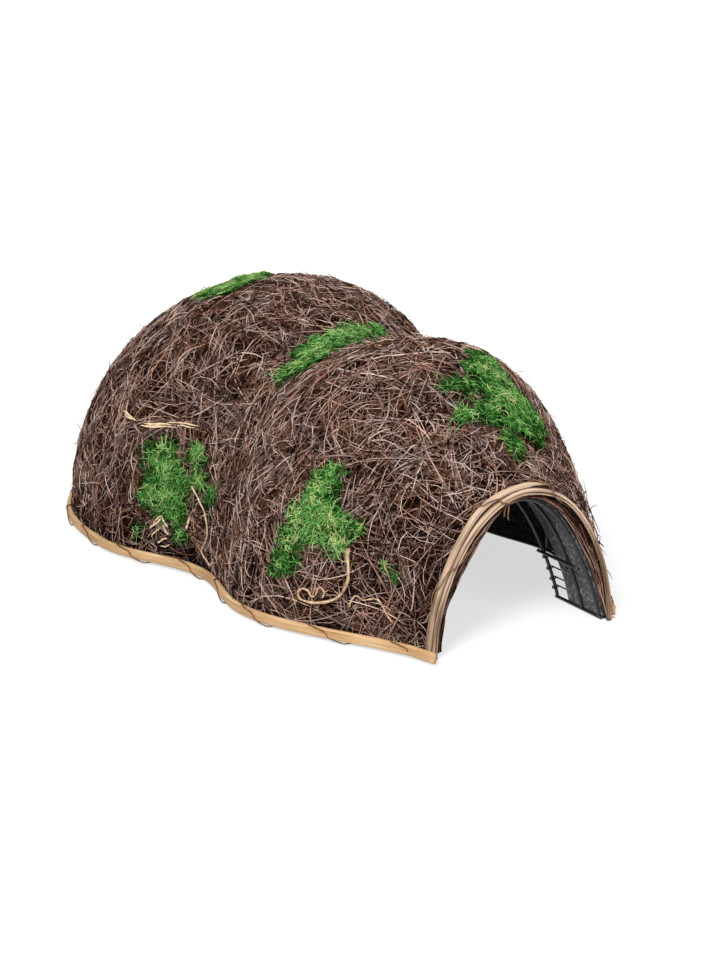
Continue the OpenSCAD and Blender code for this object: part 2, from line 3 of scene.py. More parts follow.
import bpy
import numpy as np
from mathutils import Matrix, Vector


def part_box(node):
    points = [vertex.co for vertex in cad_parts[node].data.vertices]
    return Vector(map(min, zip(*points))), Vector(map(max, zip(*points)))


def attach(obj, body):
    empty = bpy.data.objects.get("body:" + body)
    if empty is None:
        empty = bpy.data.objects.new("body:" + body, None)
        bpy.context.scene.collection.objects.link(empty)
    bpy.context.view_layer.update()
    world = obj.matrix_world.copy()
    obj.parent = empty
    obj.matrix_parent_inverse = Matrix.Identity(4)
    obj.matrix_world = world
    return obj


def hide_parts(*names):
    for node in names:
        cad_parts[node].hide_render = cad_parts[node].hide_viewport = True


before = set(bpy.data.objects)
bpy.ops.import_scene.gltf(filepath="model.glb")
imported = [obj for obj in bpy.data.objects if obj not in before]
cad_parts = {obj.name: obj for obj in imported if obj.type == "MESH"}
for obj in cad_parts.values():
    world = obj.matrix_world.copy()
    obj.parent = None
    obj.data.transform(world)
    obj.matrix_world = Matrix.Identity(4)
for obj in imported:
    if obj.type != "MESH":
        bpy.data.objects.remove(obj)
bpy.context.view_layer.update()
rng = np.random.default_rng(411)  # one seeded source for every twig and moss strand
mm = 0.001  # shapes are worked out in millimetres and put into the meshes in metres
rollEnd = 6.28  # radians, the end of the random roll of a strand about its own line


def linear(hexColour):
    # sRGB to linear light: a straight foot below 0.04045, then the 2.4 power curve
    c = np.array([int(hexColour[i:i + 2], 16) for i in (1, 3, 5)]) / 255
    return (*np.where(c <= 0.04045, c / 12.92, ((c + 0.055) / 1.055) ** 2.4), 1.0)


def addNode(tree, kind, inputs=None, **settings):
    # one shader node with its settings; an input is a value, or the output socket that feeds it
    node = tree.nodes.new("ShaderNode" + kind)
    for name, value in settings.items():
        setattr(node, name, value)
    for socket, value in (inputs or {}).items():
        if isinstance(value, bpy.types.NodeSocket):
            tree.links.new(value, node.inputs[socket])
        else:
            node.inputs[socket].default_value = value
    return node


def mathOf(tree, operation, *values, clamp=False):
    # one sum, product or the like of values and sockets
    node = addNode(tree, "Math", dict(enumerate(values)), operation=operation, use_clamp=clamp)
    return node.outputs[0]


def mapRange(tree, value, start, end, low=0.0, high=1.0, **settings):
    # straight map of a value from the range start to end onto low to high
    ends = {"Value": value, "From Min": start, "From Max": end, "To Min": low, "To Max": high}
    return addNode(tree, "MapRange", ends, **settings).outputs[0]


def attributeOf(tree, name, socket="Fac"):
    # what a named attribute of the mesh says
    return addNode(tree, "Attribute", attribute_name=name).outputs[socket]


def objectPlace(tree):
    # place in Object coordinates, in metres
    return addNode(tree, "TexCoord").outputs["Object"]


def objectHeight(tree):
    # height above the floor, in metres
    return addNode(tree, "SeparateXYZ", {0: objectPlace(tree)}).outputs[2]


def barkNoise(tree, size, stretch=(1, 1, 1), detail=3.0, source=None):
    # noise whose grains are about size millimetres across, on Object coordinates or a given place
    turn = addNode(tree, "Mapping", {"Vector": source or objectPlace(tree), "Scale": stretch})
    values = {"Vector": turn.outputs[0], "Scale": 1 / (size * mm), "Detail": detail}
    return addNode(tree, "TexNoise", values).outputs[0]


def rampOf(tree, value, stops):
    # colour ramp on a value; the stops are pairs of place and hex colour
    ramp = addNode(tree, "ValToRGB", {"Fac": value})
    elements = ramp.color_ramp.elements
    while len(elements) < len(stops):
        elements.new(0.5)
    for element, (place, colour) in zip(elements, stops):
        element.position = place
        element.color = linear(colour)
    return ramp.outputs[0]


def newFinish(name, roughness, specular=0.5, **values):
    # an empty material with one Principled shader, and its fixed values set on the shader's own sockets
    finish = bpy.data.materials.new(name)
    finish.use_nodes = True
    tree = finish.node_tree
    tree.nodes.clear()
    fixed = {"Roughness": roughness, "Specular IOR Level": specular, **values}
    shader = addNode(tree, "BsdfPrincipled", fixed)
    addNode(tree, "OutputMaterial", {"Surface": shader.outputs[0]})
    return finish, tree, shader


def coat(tree, shader, colour, height=None, strength=0.0, depthMm=0.0):
    # colour of the shader and, where a height is given, its bump
    tree.links.new(colour, shader.inputs["Base Color"])
    if height:
        bump = addNode(tree, "Bump", {"Height": height, "Strength": strength, "Distance": depthMm * mm})
        tree.links.new(bump.outputs[0], shader.inputs["Normal"])


def grainFinish(name, roughness, grainMm, stops, bump=(), stretch=(1, 1, 1), **values):
    # one noise drives the colour ramp and, where bump gives its strength and depth, the bump too
    finish, tree, shader = newFinish(name, roughness, **values)
    grain = barkNoise(tree, grainMm, stretch)
    coat(tree, shader, rampOf(tree, grain, stops), grain if bump else None, *bump)
    return finish


# House outline in millimetres: where the solids have a box of their own, the size comes from it
frontLow, frontHigh = [np.array(c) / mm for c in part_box("front_thatch")]
rearHigh = np.array(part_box("rear_thatch")[1]) / mm
house = dict(
    entranceY=frontLow[1], frontY=158.0, waistY=242.0, rearY=363.0, backY=rearHigh[1] - frontLow[1],
    entranceW=174.0, entranceH=125.0, frontW=frontHigh[0] * 2, frontH=frontHigh[2],
    waistW=284.0, waistH=180.0, rearW=rearHigh[0] * 2, rearH=rearHigh[2],
    frontRise=0.95, backRoundW=2.5, backRoundH=2.0, entranceRound=1.9, domeRound=2.2,
    thatch=7.0, edgeBand=12.0, felt=1.2, wire=2.8, gap=0.4,
)
entranceY, frontY, waistY, rearY, backY, gap = [
    house[key] for key in ("entranceY", "frontY", "waistY", "rearY", "backY", "gap")]
backDepth = backY - rearY
walkEnd = rearY + backDepth * math.pi / 2
feltOut = house["thatch"] + gap
feltIn = feltOut + house["felt"]
wireR = house["wire"] / 2
longWireIn = feltIn + gap + wireR
hoopIn = longWireIn + house["wire"] + gap
footZ = house["wire"] + gap


def power(value, exponent):
    # power that keeps the sign, for superellipses
    return np.sign(value) * np.abs(value) ** exponent


def unit(vectors):
    # vectors divided by their length
    return vectors / (np.linalg.norm(vectors, axis=-1, keepdims=True) + 1e-9)


def ease(t):
    # half a cosine wave from 0 to 1
    return (1 - np.cos(np.pi * np.clip(t, 0, 1))) / 2


def outline(y, depth, sizes, fullness):
    # half-width or height along the house: a cubic climb from the entrance to the front lobe, cosine
    # eases to the waist and the rear lobe, and a superellipse that closes the back
    y = np.asarray(y, float)
    r = house["frontRise"]
    e, f, w, b = sizes
    t = np.minimum(y / frontY, 1)
    climb = t * (r + t * (3 - 2 * r + t * (r - 2)))
    tip = np.clip((y - rearY) / (backDepth - depth), 0, 1)
    return np.select(
        [y < frontY, y < waistY, y < rearY],
        [e - depth + (f - e) * climb,
         f - depth + (w - f) * ease((y - frontY) / (waistY - frontY)),
         w - depth + (b - w) * ease((y - waistY) / (rearY - waistY))],
        (b - depth) * np.maximum(0, 1 - tip ** fullness) ** (1 / fullness))


def halfWidth(y, depth=0.0):
    # the outline through the half-widths at the entrance, the lobes and the waist
    sizes = [house[key] / 2 for key in ("entranceW", "frontW", "waistW", "rearW")]
    return outline(y, depth, sizes, house["backRoundW"])


def crownHeight(y, depth=0.0):
    # the outline through the heights at the same places
    sizes = [house[key] for key in ("entranceH", "frontH", "waistH", "rearH")]
    return outline(y, depth, sizes, house["backRoundH"])


def domePoint(y, angle, depth=0.0):
    # superellipse section at distance y behind the entrance; the angle in degrees runs from the right
    # floor over the ridge to the left floor, and depth sets the surface in
    y, angle = np.broadcast_arrays(np.asarray(y, float), np.radians(angle))
    h = house
    q = 2 / (h["entranceRound"] + (h["domeRound"] - h["entranceRound"]) * np.clip(y / frontY, 0, 1))
    x = halfWidth(y, depth) * power(np.cos(angle), q)
    return np.stack([x, y + entranceY, crownHeight(y, depth) * np.abs(np.sin(angle)) ** q], -1)


def walkY(walk, depth=0.0):
    # the walk follows y to the rear lobe, then a quarter circle down to the tip, so steps stay even
    turn = np.clip((walk - rearY) / backDepth, 0, np.pi / 2)
    return np.where(walk < rearY, walk, rearY + (backDepth - depth) * np.sin(turn))


def toWalk(y):
    # distance behind the entrance to walk
    back = np.clip((y - rearY) / backDepth, 0, 1)
    return np.where(y < rearY, y, rearY + backDepth * np.arcsin(back))


def setInY(y, depth):
    # a station in the back shrinks with the depth that the surface is set in
    return np.where(y < rearY, y, rearY + (y - rearY) * (backDepth - depth) / backDepth)


def arcPerDegree(y):
    # millimetres round the house for one degree, taken as a quarter ellipse
    return np.maximum(np.pi / 360 * (halfWidth(y) + crownHeight(y)), 0.6)


def fromFloor(angle):
    # degrees above the nearer floor
    return np.minimum(angle, 180 - angle)


def domeFrame(walk, angle):
    # point, tangents along the house and round it, and outward normal, by small differences
    halfMm, halfDegree = 0.5, 0.04
    a = np.clip(angle, 0.05, 179.95)
    w = np.clip(walk, -6, walkEnd - 3)
    along = domePoint(walkY(w + halfMm), a) - domePoint(walkY(w - halfMm), a)
    around = domePoint(walkY(w), a + halfDegree) - domePoint(walkY(w), a - halfDegree)
    around = around / (2 * halfDegree)
    return domePoint(walkY(w), a), along, around, unit(np.cross(along, around))


def raised(walk, angle, lift):
    # points of the dome moved out along its normal, and the normal
    point, _, _, normal = domeFrame(walk, angle)
    return point + np.asarray(lift)[..., None] * normal, normal


def nodeOf(name):
    # the CAD node that a piece is named after: frontHoop stands for front_hoop
    return "".join("_" + letter.lower() if letter.isupper() else letter for letter in name)


def makePiece(name, arrays, finish, stands=None, attributes=None):
    # mesh from whole arrays: points in millimetres, quads by number and, where there are any, triangles and
    # the place of each face corner on the bake map; attributes are named arrays on the points
    points, quads, tris, bake = (*arrays, None, None)[:4]
    tris = np.zeros((0, 3), int) if tris is None else tris
    corners = np.concatenate([quads.ravel(), tris.ravel()]).astype(np.int32)
    sizes = np.concatenate([np.full(len(quads), 4), np.full(len(tris), 3)])
    starts = np.concatenate([[0], np.cumsum(sizes)[:-1]]).astype(np.int32)
    mesh = bpy.data.meshes.new(name)
    mesh.vertices.add(len(points))
    mesh.vertices.foreach_set("co", (points * mm).astype(np.float32).ravel())
    mesh.loops.add(len(corners))
    mesh.loops.foreach_set("vertex_index", corners)
    mesh.polygons.add(len(starts))
    mesh.polygons.foreach_set("loop_start", starts)
    mesh.polygons.foreach_set("use_smooth", np.ones(len(starts), bool))
    for key, values in (attributes or {}).items():
        values = np.asarray(values, np.float32)
        kind, field = ("FLOAT", "value") if values.ndim == 1 else ("FLOAT_VECTOR", "vector")
        mesh.attributes.new(key, kind, "POINT").data.foreach_set(field, values.ravel())
    if bake is not None:
        mesh.uv_layers.new(name="OFBake").data.foreach_set("uv", bake.astype(np.float32).ravel())
    mesh.update(calc_edges=True)
    mesh.validate()
    piece = bpy.data.objects.new(name, mesh)
    bpy.context.scene.collection.objects.link(piece)
    mesh.materials.append(finish)
    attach(piece, "root")
    stands = [nodeOf(name)] if stands is None else stands
    if stands:
        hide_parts(*stands)
    return piece


def strands(paths, normals, radii, sides, turn=0.0):
    # many strands at once: at each point the ring is radius * (cos * side + sin * up), where side is
    # square to the path and the normal; each strand has its own cell of the bake map
    n, s = paths.shape[:2]
    tangent = unit(np.gradient(paths, axis=1))
    side = unit(np.cross(tangent, normals))
    up = np.cross(side, tangent)
    angle = np.broadcast_to(np.asarray(turn, float), n)[:, None] + 2 * np.pi * np.arange(sides) / sides
    c, d = [part[:, None, :, None] for part in (np.cos(angle), np.sin(angle))]
    points = paths[:, :, None] + radii[:, :, None, None] * (c * side[:, :, None] + d * up[:, :, None])
    k = np.arange(sides)
    k2 = (k + 1) % sides
    base = (np.arange(n) * s * sides)[:, None, None] + (np.arange(s - 1) * sides)[None, :, None]
    quads = np.stack([base + k, base + sides + k, base + sides + k2, base + k2], -1).reshape(-1, 4)
    first = (np.arange(n) * s * sides)[:, None]
    last = first + (s - 1) * sides
    fan = np.arange(1, sides - 1)
    starts = np.stack([first + 0 * fan, first + fan, first + fan + 1], -1)
    ends = np.stack([last + 0 * fan, last + fan + 1, last + fan], -1)
    tris = np.concatenate([starts, ends], 1).reshape(-1, 3)
    across = math.ceil(math.sqrt(n))
    cell = np.stack([np.arange(n) % across, np.arange(n) // across], -1)
    u0, u1 = k / sides, (k + 1) / sides
    v0, v1 = np.arange(s - 1) / (s - 1), np.arange(1, s) / (s - 1)
    square = ((u0, v0), (u0, v1), (u1, v1), (u1, v0))
    grid = [np.stack(np.broadcast_arrays(u[None, :], v[:, None]), -1) for u, v in square]
    body = 0.08 + 0.84 * np.stack(grid, 2)
    body = (body[None] * [1, 0.9] + [0, 0.08] + cell[:, None, None, None]) / across
    corner = np.array([[0.1, 0.02], [0.3, 0.02], [0.2, 0.08]])
    shift = np.arange(tris.reshape(n, -1, 3).shape[1])[:, None, None] * [0.8 / (2 * sides), 0]
    caps = (corner[None] * [0.3, 1] + shift + cell[:, None, None]) / across
    return points.reshape(-1, 3), quads, tris, np.concatenate([body.reshape(-1, 2), caps.reshape(-1, 2)])


def joinStrands(meshes):
    # several sets of strands as one mesh; each set has its own quarter of the bake map
    first = np.cumsum([0] + [len(part[0]) for part in meshes])
    points = np.concatenate([part[0] for part in meshes])
    quads, tris = [np.concatenate([part[i] + k for part, k in zip(meshes, first)]) for i in (1, 2)]
    corner = [np.array([i % 2, i // 2]) * 0.5 for i in range(len(meshes))]
    cut = [4 * len(part[1]) for part in meshes]
    sides = [part[3][:k] * 0.5 + at for part, k, at in zip(meshes, cut, corner)]
    caps = [part[3][k:] * 0.5 + at for part, k, at in zip(meshes, cut, corner)]
    return points, quads, tris, np.concatenate(sides + caps)


def oneStrand(path, normals, radius, sides):
    # one strand without its bake map
    radii = np.broadcast_to(np.asarray(radius, float), len(path))
    return strands(path[None], np.broadcast_to(normals, path.shape)[None], radii[None], sides)[:3]


def shellMesh(outer, inner):
    # closed wall between two grids of points of the same shape, joined along all four edges
    rows, cols = outer.shape[:2]
    number = np.arange(rows * cols).reshape(rows, cols)
    below = number + rows * cols
    face = lambda g: np.stack([g[:-1, :-1], g[1:, :-1], g[1:, 1:], g[:-1, 1:]], -1).reshape(-1, 4)
    edge = lambda a, b: np.stack([a[:-1], a[1:], b[1:], b[:-1]], -1)
    quads = np.concatenate([
        face(number), face(below)[:, ::-1],
        edge(below[:, 0], number[:, 0]), edge(number[:, -1], below[:, -1]),
        edge(number[0], below[0]), edge(below[-1], number[-1])])
    return np.concatenate([outer.reshape(-1, 3), inner.reshape(-1, 3)]), quads


def stripMesh(path, out, across, halfOut, halfAcross, fullness=4.0, groove=None):
    # strip along a path: a superellipse section of the two half sizes, laid out on the out and across
    # directions; a groove sinks the middle of the outer face; ends are closed with a fan to their middle
    ring = 24
    t = 2 * np.pi * np.arange(ring) / ring + np.pi
    c, s = np.cos(t), np.sin(t)
    halfOut, halfAcross = [np.broadcast_to(half, len(path))[:, None] for half in (halfOut, halfAcross)]
    a, b = halfOut * power(c, 2 / fullness), halfAcross * power(s, 2 / fullness)
    if groove is not None:
        a = a - groove[:, None] * np.exp(-(b / halfAcross / 0.2) ** 2) * (c > 0)
    points = path[:, None] + a[..., None] * out[:, None] + b[..., None] * across[:, None]
    n = len(path)
    number = np.arange(n * ring).reshape(n, ring)
    nextOne = np.roll(number, -1, axis=1)
    quads = np.stack([number[:-1], number[1:], nextOne[1:], nextOne[:-1]], -1).reshape(-1, 4)
    middle = n * ring
    tris = np.concatenate([
        np.stack([number[0], nextOne[0], np.full(ring, middle)], -1),
        np.stack([nextOne[-1], number[-1], np.full(ring, middle + 1)], -1)])
    run = np.concatenate([[0], np.cumsum(np.linalg.norm(np.diff(path, axis=0), axis=-1))])
    place = np.stack(np.broadcast_arrays(run[:, None], b + 0.6 * a, 0.0), -1)
    ends = np.stack([[run[0], 0, 0], [run[-1], 0, 0]])
    allPoints = np.concatenate([points.reshape(-1, 3), path[[0, -1]]])
    if np.dot(np.cross(out[0], across[0]), path[1] - path[0]) > 0:
        quads, tris = quads[:, ::-1], tris[:, ::-1]
    return allPoints, quads, tris, np.concatenate([place.reshape(-1, 3), ends]) * mm


def spline(route, perPiece):
    # smooth curve through the points of a route, each piece a cubic set by its two neighbours
    p = np.asarray(route, float)
    i = np.repeat(np.arange(len(p) - 1), perPiece)
    t = np.tile(np.arange(perPiece) / perPiece, len(p) - 1)[:, None]
    a, b, c, d = p[np.maximum(i - 1, 0)], p[i], p[i + 1], p[np.minimum(i + 2, len(p) - 1)]
    curve = b + t * (c - a + t * (2 * a - 5 * b + 4 * c - d + t * (3 * b - a - 3 * c + d))) / 2
    return np.concatenate([curve, p[-1:]])


# Heather and root twigs, cut and dried: thin matt bark, from near black through red brown to tan
twigLook = dict(
    stops=[(0.0, "#0c0300"), (0.18, "#30170a"), (0.4, "#6a4a3c"), (0.62, "#a38376"), (0.82, "#c8a899"),
           (1.0, "#e6ccb8")],
    grainMm=1.3, grainShare=0.34, speckMm=8.0, speckShare=0.24, darken=0.29, patchMm=24.0, patchShare=0.9)


def makeTwigFinish():
    # tone of the twig plus two noises; weathered twigs are greyer and fresh ones warmer, both twig by
    # twig and in patches
    look = twigLook
    finish, tree, shader = newFinish("driedHeatherTwig", 0.75, 0.06)
    grain = barkNoise(tree, look["grainMm"])
    level = mathOf(tree, "MULTIPLY_ADD", grain, look["grainShare"], attributeOf(tree, "tone"))
    level = mathOf(tree, "MULTIPLY_ADD", barkNoise(tree, look["speckMm"]), look["speckShare"], level)
    level = mathOf(tree, "SUBTRACT", level, look["darken"], clamp=True)
    patch = barkNoise(tree, look["patchMm"], detail=1.0)
    warmth = mathOf(tree, "MULTIPLY_ADD", patch, look["patchShare"], attributeOf(tree, "warmth"))
    depth = mapRange(tree, warmth, 0.2, 1.2, 0.5, 1.38)
    bark = rampOf(tree, level, look["stops"])
    colour = addNode(tree, "HueSaturation", {"Saturation": depth, "Color": bark})
    coat(tree, shader, colour.outputs[0], grain, 0.5, 0.4)
    return finish


def makeBedFinish():
    # packed twigs deep in the thatch, painted almost black as painted shade; low down the charcoal felt shows
    # through in patches
    finish, tree, shader = newFinish("packedThatchPaintedShade", 0.9, 0.05)
    grain = barkNoise(tree, 2.2)
    twigs = rampOf(tree, grain, [(0.25, "#0b0301"), (0.55, "#190a05"), (0.8, "#2d160d")])
    felt = rampOf(tree, barkNoise(tree, 1.6), [(0.4, "#1b1c1e"), (0.62, "#34363a"), (0.72, "#8d9096")])
    low = mapRange(tree, objectHeight(tree), 0.16, 0.012, 0.25)
    share = mathOf(tree, "MULTIPLY", low, mapRange(tree, barkNoise(tree, 24.0), 0.5, 0.58))
    mixed = addNode(tree, "Mix", {0: share, 6: twigs, 7: felt}, data_type="RGBA")
    coat(tree, shader, mixed.outputs[2], grain, 0.8, 1.5)
    return finish


twigFinish = makeTwigFinish()
bedFinish = makeBedFinish()

# Packed thatch under the loose twigs: a lumpy wall that fills the inner part of the thatch, its near black
# colour painted shade
bed = dict(outer=0.56, inner=6.9, edgeInner=3.4, lump=0.096, lumpMm=17.0, rowMm=6.0, columns=90)


def bedDepth(y):
    # depth of the inner face, which thins out towards the entrance
    return bed["edgeInner"] + (bed["inner"] - bed["edgeInner"]) * np.clip(y / house["edgeBand"], 0, 1)


def bedWall(walks):
    # dome grid set in by a share of the inner depth that waves with both walk and angle; close to the
    # floor it isn't set down
    w, a = np.broadcast_arrays(walks[:, None], np.linspace(0, 180, bed["columns"] + 1)[None])
    wave = np.sin(w / bed["lumpMm"] * 2.1 + 3 * np.sin(a / 19)) * np.sin(a / 5.3 + 2 * np.sin(w / 31))
    inside = bedDepth(walkY(w))
    depth = (bed["outer"] + bed["lump"] * wave) * inside
    outer = domePoint(walkY(w), a)
    sunk = domeFrame(w, a)[3] * depth[..., None]
    sunk[..., 2] *= np.minimum(1, outer[..., 2] / 6)
    outer = outer - sunk
    outer[..., 2] = np.maximum(outer[..., 2], 0)
    return outer, domePoint(walkY(w, bed["inner"]), a, inside)


for name, start, end, node in (("thatchBedFront", 0.2, waistY, "front_thatch"),
                               ("thatchBedRear", waistY + 0.2, walkEnd - 6, "rear_thatch")):
    rows = np.linspace(start, end, int((end - start) / bed["rowMm"]) + 1)
    makePiece(name, shellMesh(*bedWall(rows)), bedFinish, [node])
print("thatch beds made")

# Loose twigs, from the deep layer, dark as painted shade, to the fine pale rootlets on top; lengths, radii
# and lifts in millimetres, bends in radians a millimetre, tones from 0 dark to 1 pale; bundle is how many lie
# together
twigLayers = [
    dict(count=5000, bundle=4, steps=7, spread=0.5, length=(45, 110), bend=0.006, radius=(0.5, 0.85),
         lift=(-4.6, -2.6), tone=(0.0, 0.22), pale=0.0, stray=0.0),
    dict(count=12600, bundle=6, steps=7, spread=0.6, length=(30, 95), bend=0.01, radius=(0.32, 0.6),
         lift=(-3.4, 0.6), tone=(0.06, 0.73), pale=0.006, stray=0.02),
    dict(count=700, bundle=2, steps=7, spread=0.5, length=(30, 80), bend=0.014, radius=(0.5, 0.85),
         lift=(-0.8, 1.0), tone=(0.16, 0.58), pale=0.015, stray=0.03),
    dict(count=12000, bundle=4, steps=5, spread=0.9, length=(8, 34), bend=0.03, radius=(0.26, 0.44),
         lift=(-2.0, 1.6), tone=(0.08, 0.86), pale=0.03, stray=0.05),
]
twig = dict(sides=3, apart=4.5, ahead=11.25, shade=0.1, turn=0.16, waver=0.07, swell=(0.2, 1.1),
            dip=(0.3, 1.8), strayMm=(2.5, 7.5), fringeMm=7, fringeShare=0.16, fringeEnd=34,
            fringeAngles=(24, 58), paleTone=(0.8, 0.98), warmth=0.5, bareShare=0.85, bareLift=-3.6,
            bareAngle=5.0)
# Places along the rim where felt shows: their middle and half length
barePlaces = [(84, 26), (222, 9), (268, 32), (420, 40)]
backWalk = 455  # where the pieces of the back begin
# Pieces that the twigs are shared out to: their range of walk and of angle
twigAreas = dict(
    twigsFrontLeft=(0, waistY, 118, 180), twigsFrontTop=(0, waistY, 62, 118),
    twigsFrontRight=(0, waistY, 0, 62), twigsRearLeft=(waistY, backWalk, 122, 180),
    twigsRearTop=(waistY, backWalk, 58, 122), twigsRearRight=(waistY, backWalk, 0, 58),
    twigsBackLeft=(backWalk, walkEnd, 90, 180), twigsBackRight=(backWalk, walkEnd, 0, 90))


def twigHeading(walk, angle):
    # direction field: slow swirls, turned to run round the house in the waist and along it at the rim
    swirl = (2.1 * np.sin(walk / 63 + 0.8 + np.sin(angle / 31)) + 1.7 * np.sin(angle / 19 + 1.2)
             + 1.2 * np.sin(walk / 37 - angle / 23) + 0.9 * np.sin(walk / 24 + angle / 12))
    waistPull = 1.6 * np.exp(-((walk - waistY + 8) / 30) ** 2)
    rimPull = 1.5 * np.exp(-(fromFloor(angle) / 10) ** 2)
    return np.arctan2(np.sin(2 * swirl), np.cos(2 * swirl) - waistPull + rimPull) / 2


def spreadStarts(count):
    # places spread evenly over the dome: many even draws in walk and angle, kept in step with the area
    walk = rng.uniform(0, walkEnd - 8, count * 5)
    angle = rng.uniform(0.5, 179.5, count * 5)
    _, along, around, _ = domeFrame(walk, angle)
    area = np.linalg.norm(np.cross(along, around), axis=-1)
    chosen = rng.choice(count * 5, count, replace=False, p=area / area.sum())
    return walk[chosen], angle[chosen]


def walkOver(walk, angle, heading, bend, length, steps, waver):
    # paths over the dome: at each step the heading turns by the bend, and the step is resolved into
    # walk and angle with the surface's own tangents
    walks, angles = [walk], [angle]
    step = length / (steps - 1)
    for _ in range(steps - 1):
        _, along, around, normal = domeFrame(walk, angle)
        e1 = unit(along)
        span = np.maximum(np.sum(around * np.cross(normal, e1), -1), 0.7)
        turn = np.sin(heading) / span
        ahead = np.cos(heading) - turn * np.sum(around * e1, -1)
        ahead = ahead / np.maximum(np.linalg.norm(along, axis=-1), 0.3)
        walk = np.clip(walk + step * ahead, -2.5, walkEnd - 5)
        angle = np.clip(angle + step * turn, 0.6, 179.4)
        heading = heading + bend * step + rng.normal(0, waver, len(walk))
        walks.append(walk)
        angles.append(angle)
    return np.stack(walks, 1), np.stack(angles, 1)


def layTwigs(layer):
    # bundles of nearly parallel twigs; each rises and falls along its length, and its ends dip in
    steps, bundle = layer["steps"], layer["bundle"]
    walk, angle = spreadStarts(layer["count"] // bundle)
    heading = twigHeading(walk, angle) + rng.normal(0, layer["spread"], len(walk))
    shade = rng.normal(0, twig["shade"], len(walk))
    bend = rng.normal(0, layer["bend"], len(walk))
    walk, angle, heading, bend, shade = [np.repeat(v, bundle) for v in (walk, angle, heading, bend, shade)]
    count = len(walk)
    across = rng.normal(0, twig["apart"], count)
    ahead = rng.normal(0, twig["ahead"], count)
    walk = np.clip(walk + ahead * np.cos(heading) - across * np.sin(heading), 0, walkEnd - 8)
    sideways = (ahead * np.sin(heading) + across * np.cos(heading)) / arcPerDegree(walkY(walk))
    angle = np.clip(angle + sideways, 0.6, 179.4)
    heading = heading + rng.normal(0, twig["turn"], count)
    bend = bend + rng.normal(0, 0.35 * layer["bend"], count)
    length = rng.uniform(*layer["length"], count)
    heading = np.where(rng.random(count) < 0.5, heading, heading + np.pi)
    walks, angles = walkOver(walk, angle, heading, bend, length, steps, twig["waver"])
    s = np.linspace(0, 1, steps)[None]
    lift = rng.uniform(*layer["lift"], (count, 1))
    swell = rng.uniform(*twig["swell"], (count, 1))
    lift = lift + swell * np.sin(2 * np.pi * (rng.uniform(0.5, 1.5, (count, 1)) * s + rng.random((count, 1))))
    lift = lift - rng.uniform(*twig["dip"], (count, 1)) * (2 * s - 1) ** 4
    stray = (rng.random((count, 1)) < layer["stray"]) * rng.uniform(*twig["strayMm"], (count, 1))
    lift = np.maximum(lift + stray * s ** 3, 0.6 - bedDepth(walkY(walks)))
    paths, normal = raised(walks, angles, lift)
    radius = rng.uniform(*layer["radius"], (count, 1)) * (1 - 0.55 * np.abs(2 * s - 1) ** 3)
    paths[..., 2] = np.maximum(paths[..., 2], radius + 0.2)
    # some twigs beside the far leg of the arch stand out as a fringe
    low, high = twig["fringeAngles"]
    fringe = (walk < twig["fringeEnd"]) & (angle > low) & (angle < high)
    fringe &= rng.random(count) < twig["fringeShare"]
    paths = paths + (fringe[:, None] * twig["fringeMm"] * s ** 2)[..., None] * normal
    tone = rng.uniform(*layer["tone"], count) + shade
    tone = np.where(rng.random(count) < layer["pale"], rng.uniform(*twig["paleTone"], count), tone)
    # the tone rises with the lift, so deeper twigs are darker: painted shade of the depth of the thatch
    tone = tone[:, None] + 0.045 * np.minimum(lift, 2) + 0.05 * np.sin(7 * s + 9 * tone[:, None])
    # near the rim the thatch is thin in places
    centre = walks.mean(1)
    bare = np.any([np.abs(centre - at) < half for at, half in barePlaces], axis=0)
    bare &= (fromFloor(angles).mean(1) < twig["bareAngle"]) & (rng.random(count) < twig["bareShare"])
    keep = ~(bare & (lift.mean(1) > twig["bareLift"]))
    return [part[keep] for part in (paths, normal, radius, tone, walk, angle)]


def makeTwigs():
    # each twig belongs to the piece whose range its start lies in
    laid = [layTwigs(layer) for layer in twigLayers]
    sides = twig["sides"]
    for name, (walk0, walk1, angle0, angle1) in twigAreas.items():
        meshes, tones, warmths = [], [], []
        for paths, normal, radius, tone, walk, angle in laid:
            here = (walk >= walk0) & (walk < walk1) & (angle >= angle0) & (angle < angle1)
            roll = rng.uniform(0, 2 * np.pi, here.sum())
            meshes.append(strands(paths[here], normal[here], radius[here], sides, roll))
            tones.append(np.repeat(tone[here].ravel(), sides))
            warmths.append(np.repeat(rng.uniform(0, twig["warmth"], here.sum()), tone.shape[1] * sides))
        arrays = joinStrands(meshes)
        attributes = {"tone": np.concatenate(tones), "warmth": np.concatenate(warmths)}
        makePiece(name, arrays, twigFinish, (), attributes)
        print(name, 2 * len(arrays[1]) + len(arrays[2]), "triangles")


makeTwigs()

# Split cane, dry and bare: honey wood with long darker fibres and a slight polish from its skin
caneLook = dict(
    rim=[(0.08, "#6b4a2a"), (0.3, "#ad8459"), (0.58, "#cfa97c"), (0.9, "#e8d0ab")],
    arch=[(0.1, "#4a3527"), (0.32, "#957961"), (0.58, "#c8ad95"), (0.9, "#e6d3be")],
    fibreMm=0.9, fibreLength=40.0, blotchMm=14.0, blotchShare=0.6, darken=0.29,
    groundM=(0.1, 0.03), groundShare=0.24)


def makeCaneFinish(name, stops, darkerLow):
    # long fibres and slow blotches along the strip; on the arch the strip darkens towards the ground
    look = caneLook
    finish, tree, shader = newFinish(name, 0.6, 0.3)
    place = attributeOf(tree, "grain", "Vector")
    fibre = barkNoise(tree, look["fibreMm"], (1 / look["fibreLength"], 1, 1), 4.0, place)
    blotch = barkNoise(tree, look["blotchMm"], (0.35, 1, 1), 2.0, place)
    level = mathOf(tree, "MULTIPLY_ADD", blotch, look["blotchShare"], fibre)
    if darkerLow:
        ground = mapRange(tree, objectHeight(tree), *look["groundM"], 0.0, look["groundShare"])
        level = mathOf(tree, "SUBTRACT", level, ground)
    level = mathOf(tree, "SUBTRACT", level, look["darken"], clamp=True)
    coat(tree, shader, rampOf(tree, level, stops), fibre, 0.35, 0.4)
    return finish


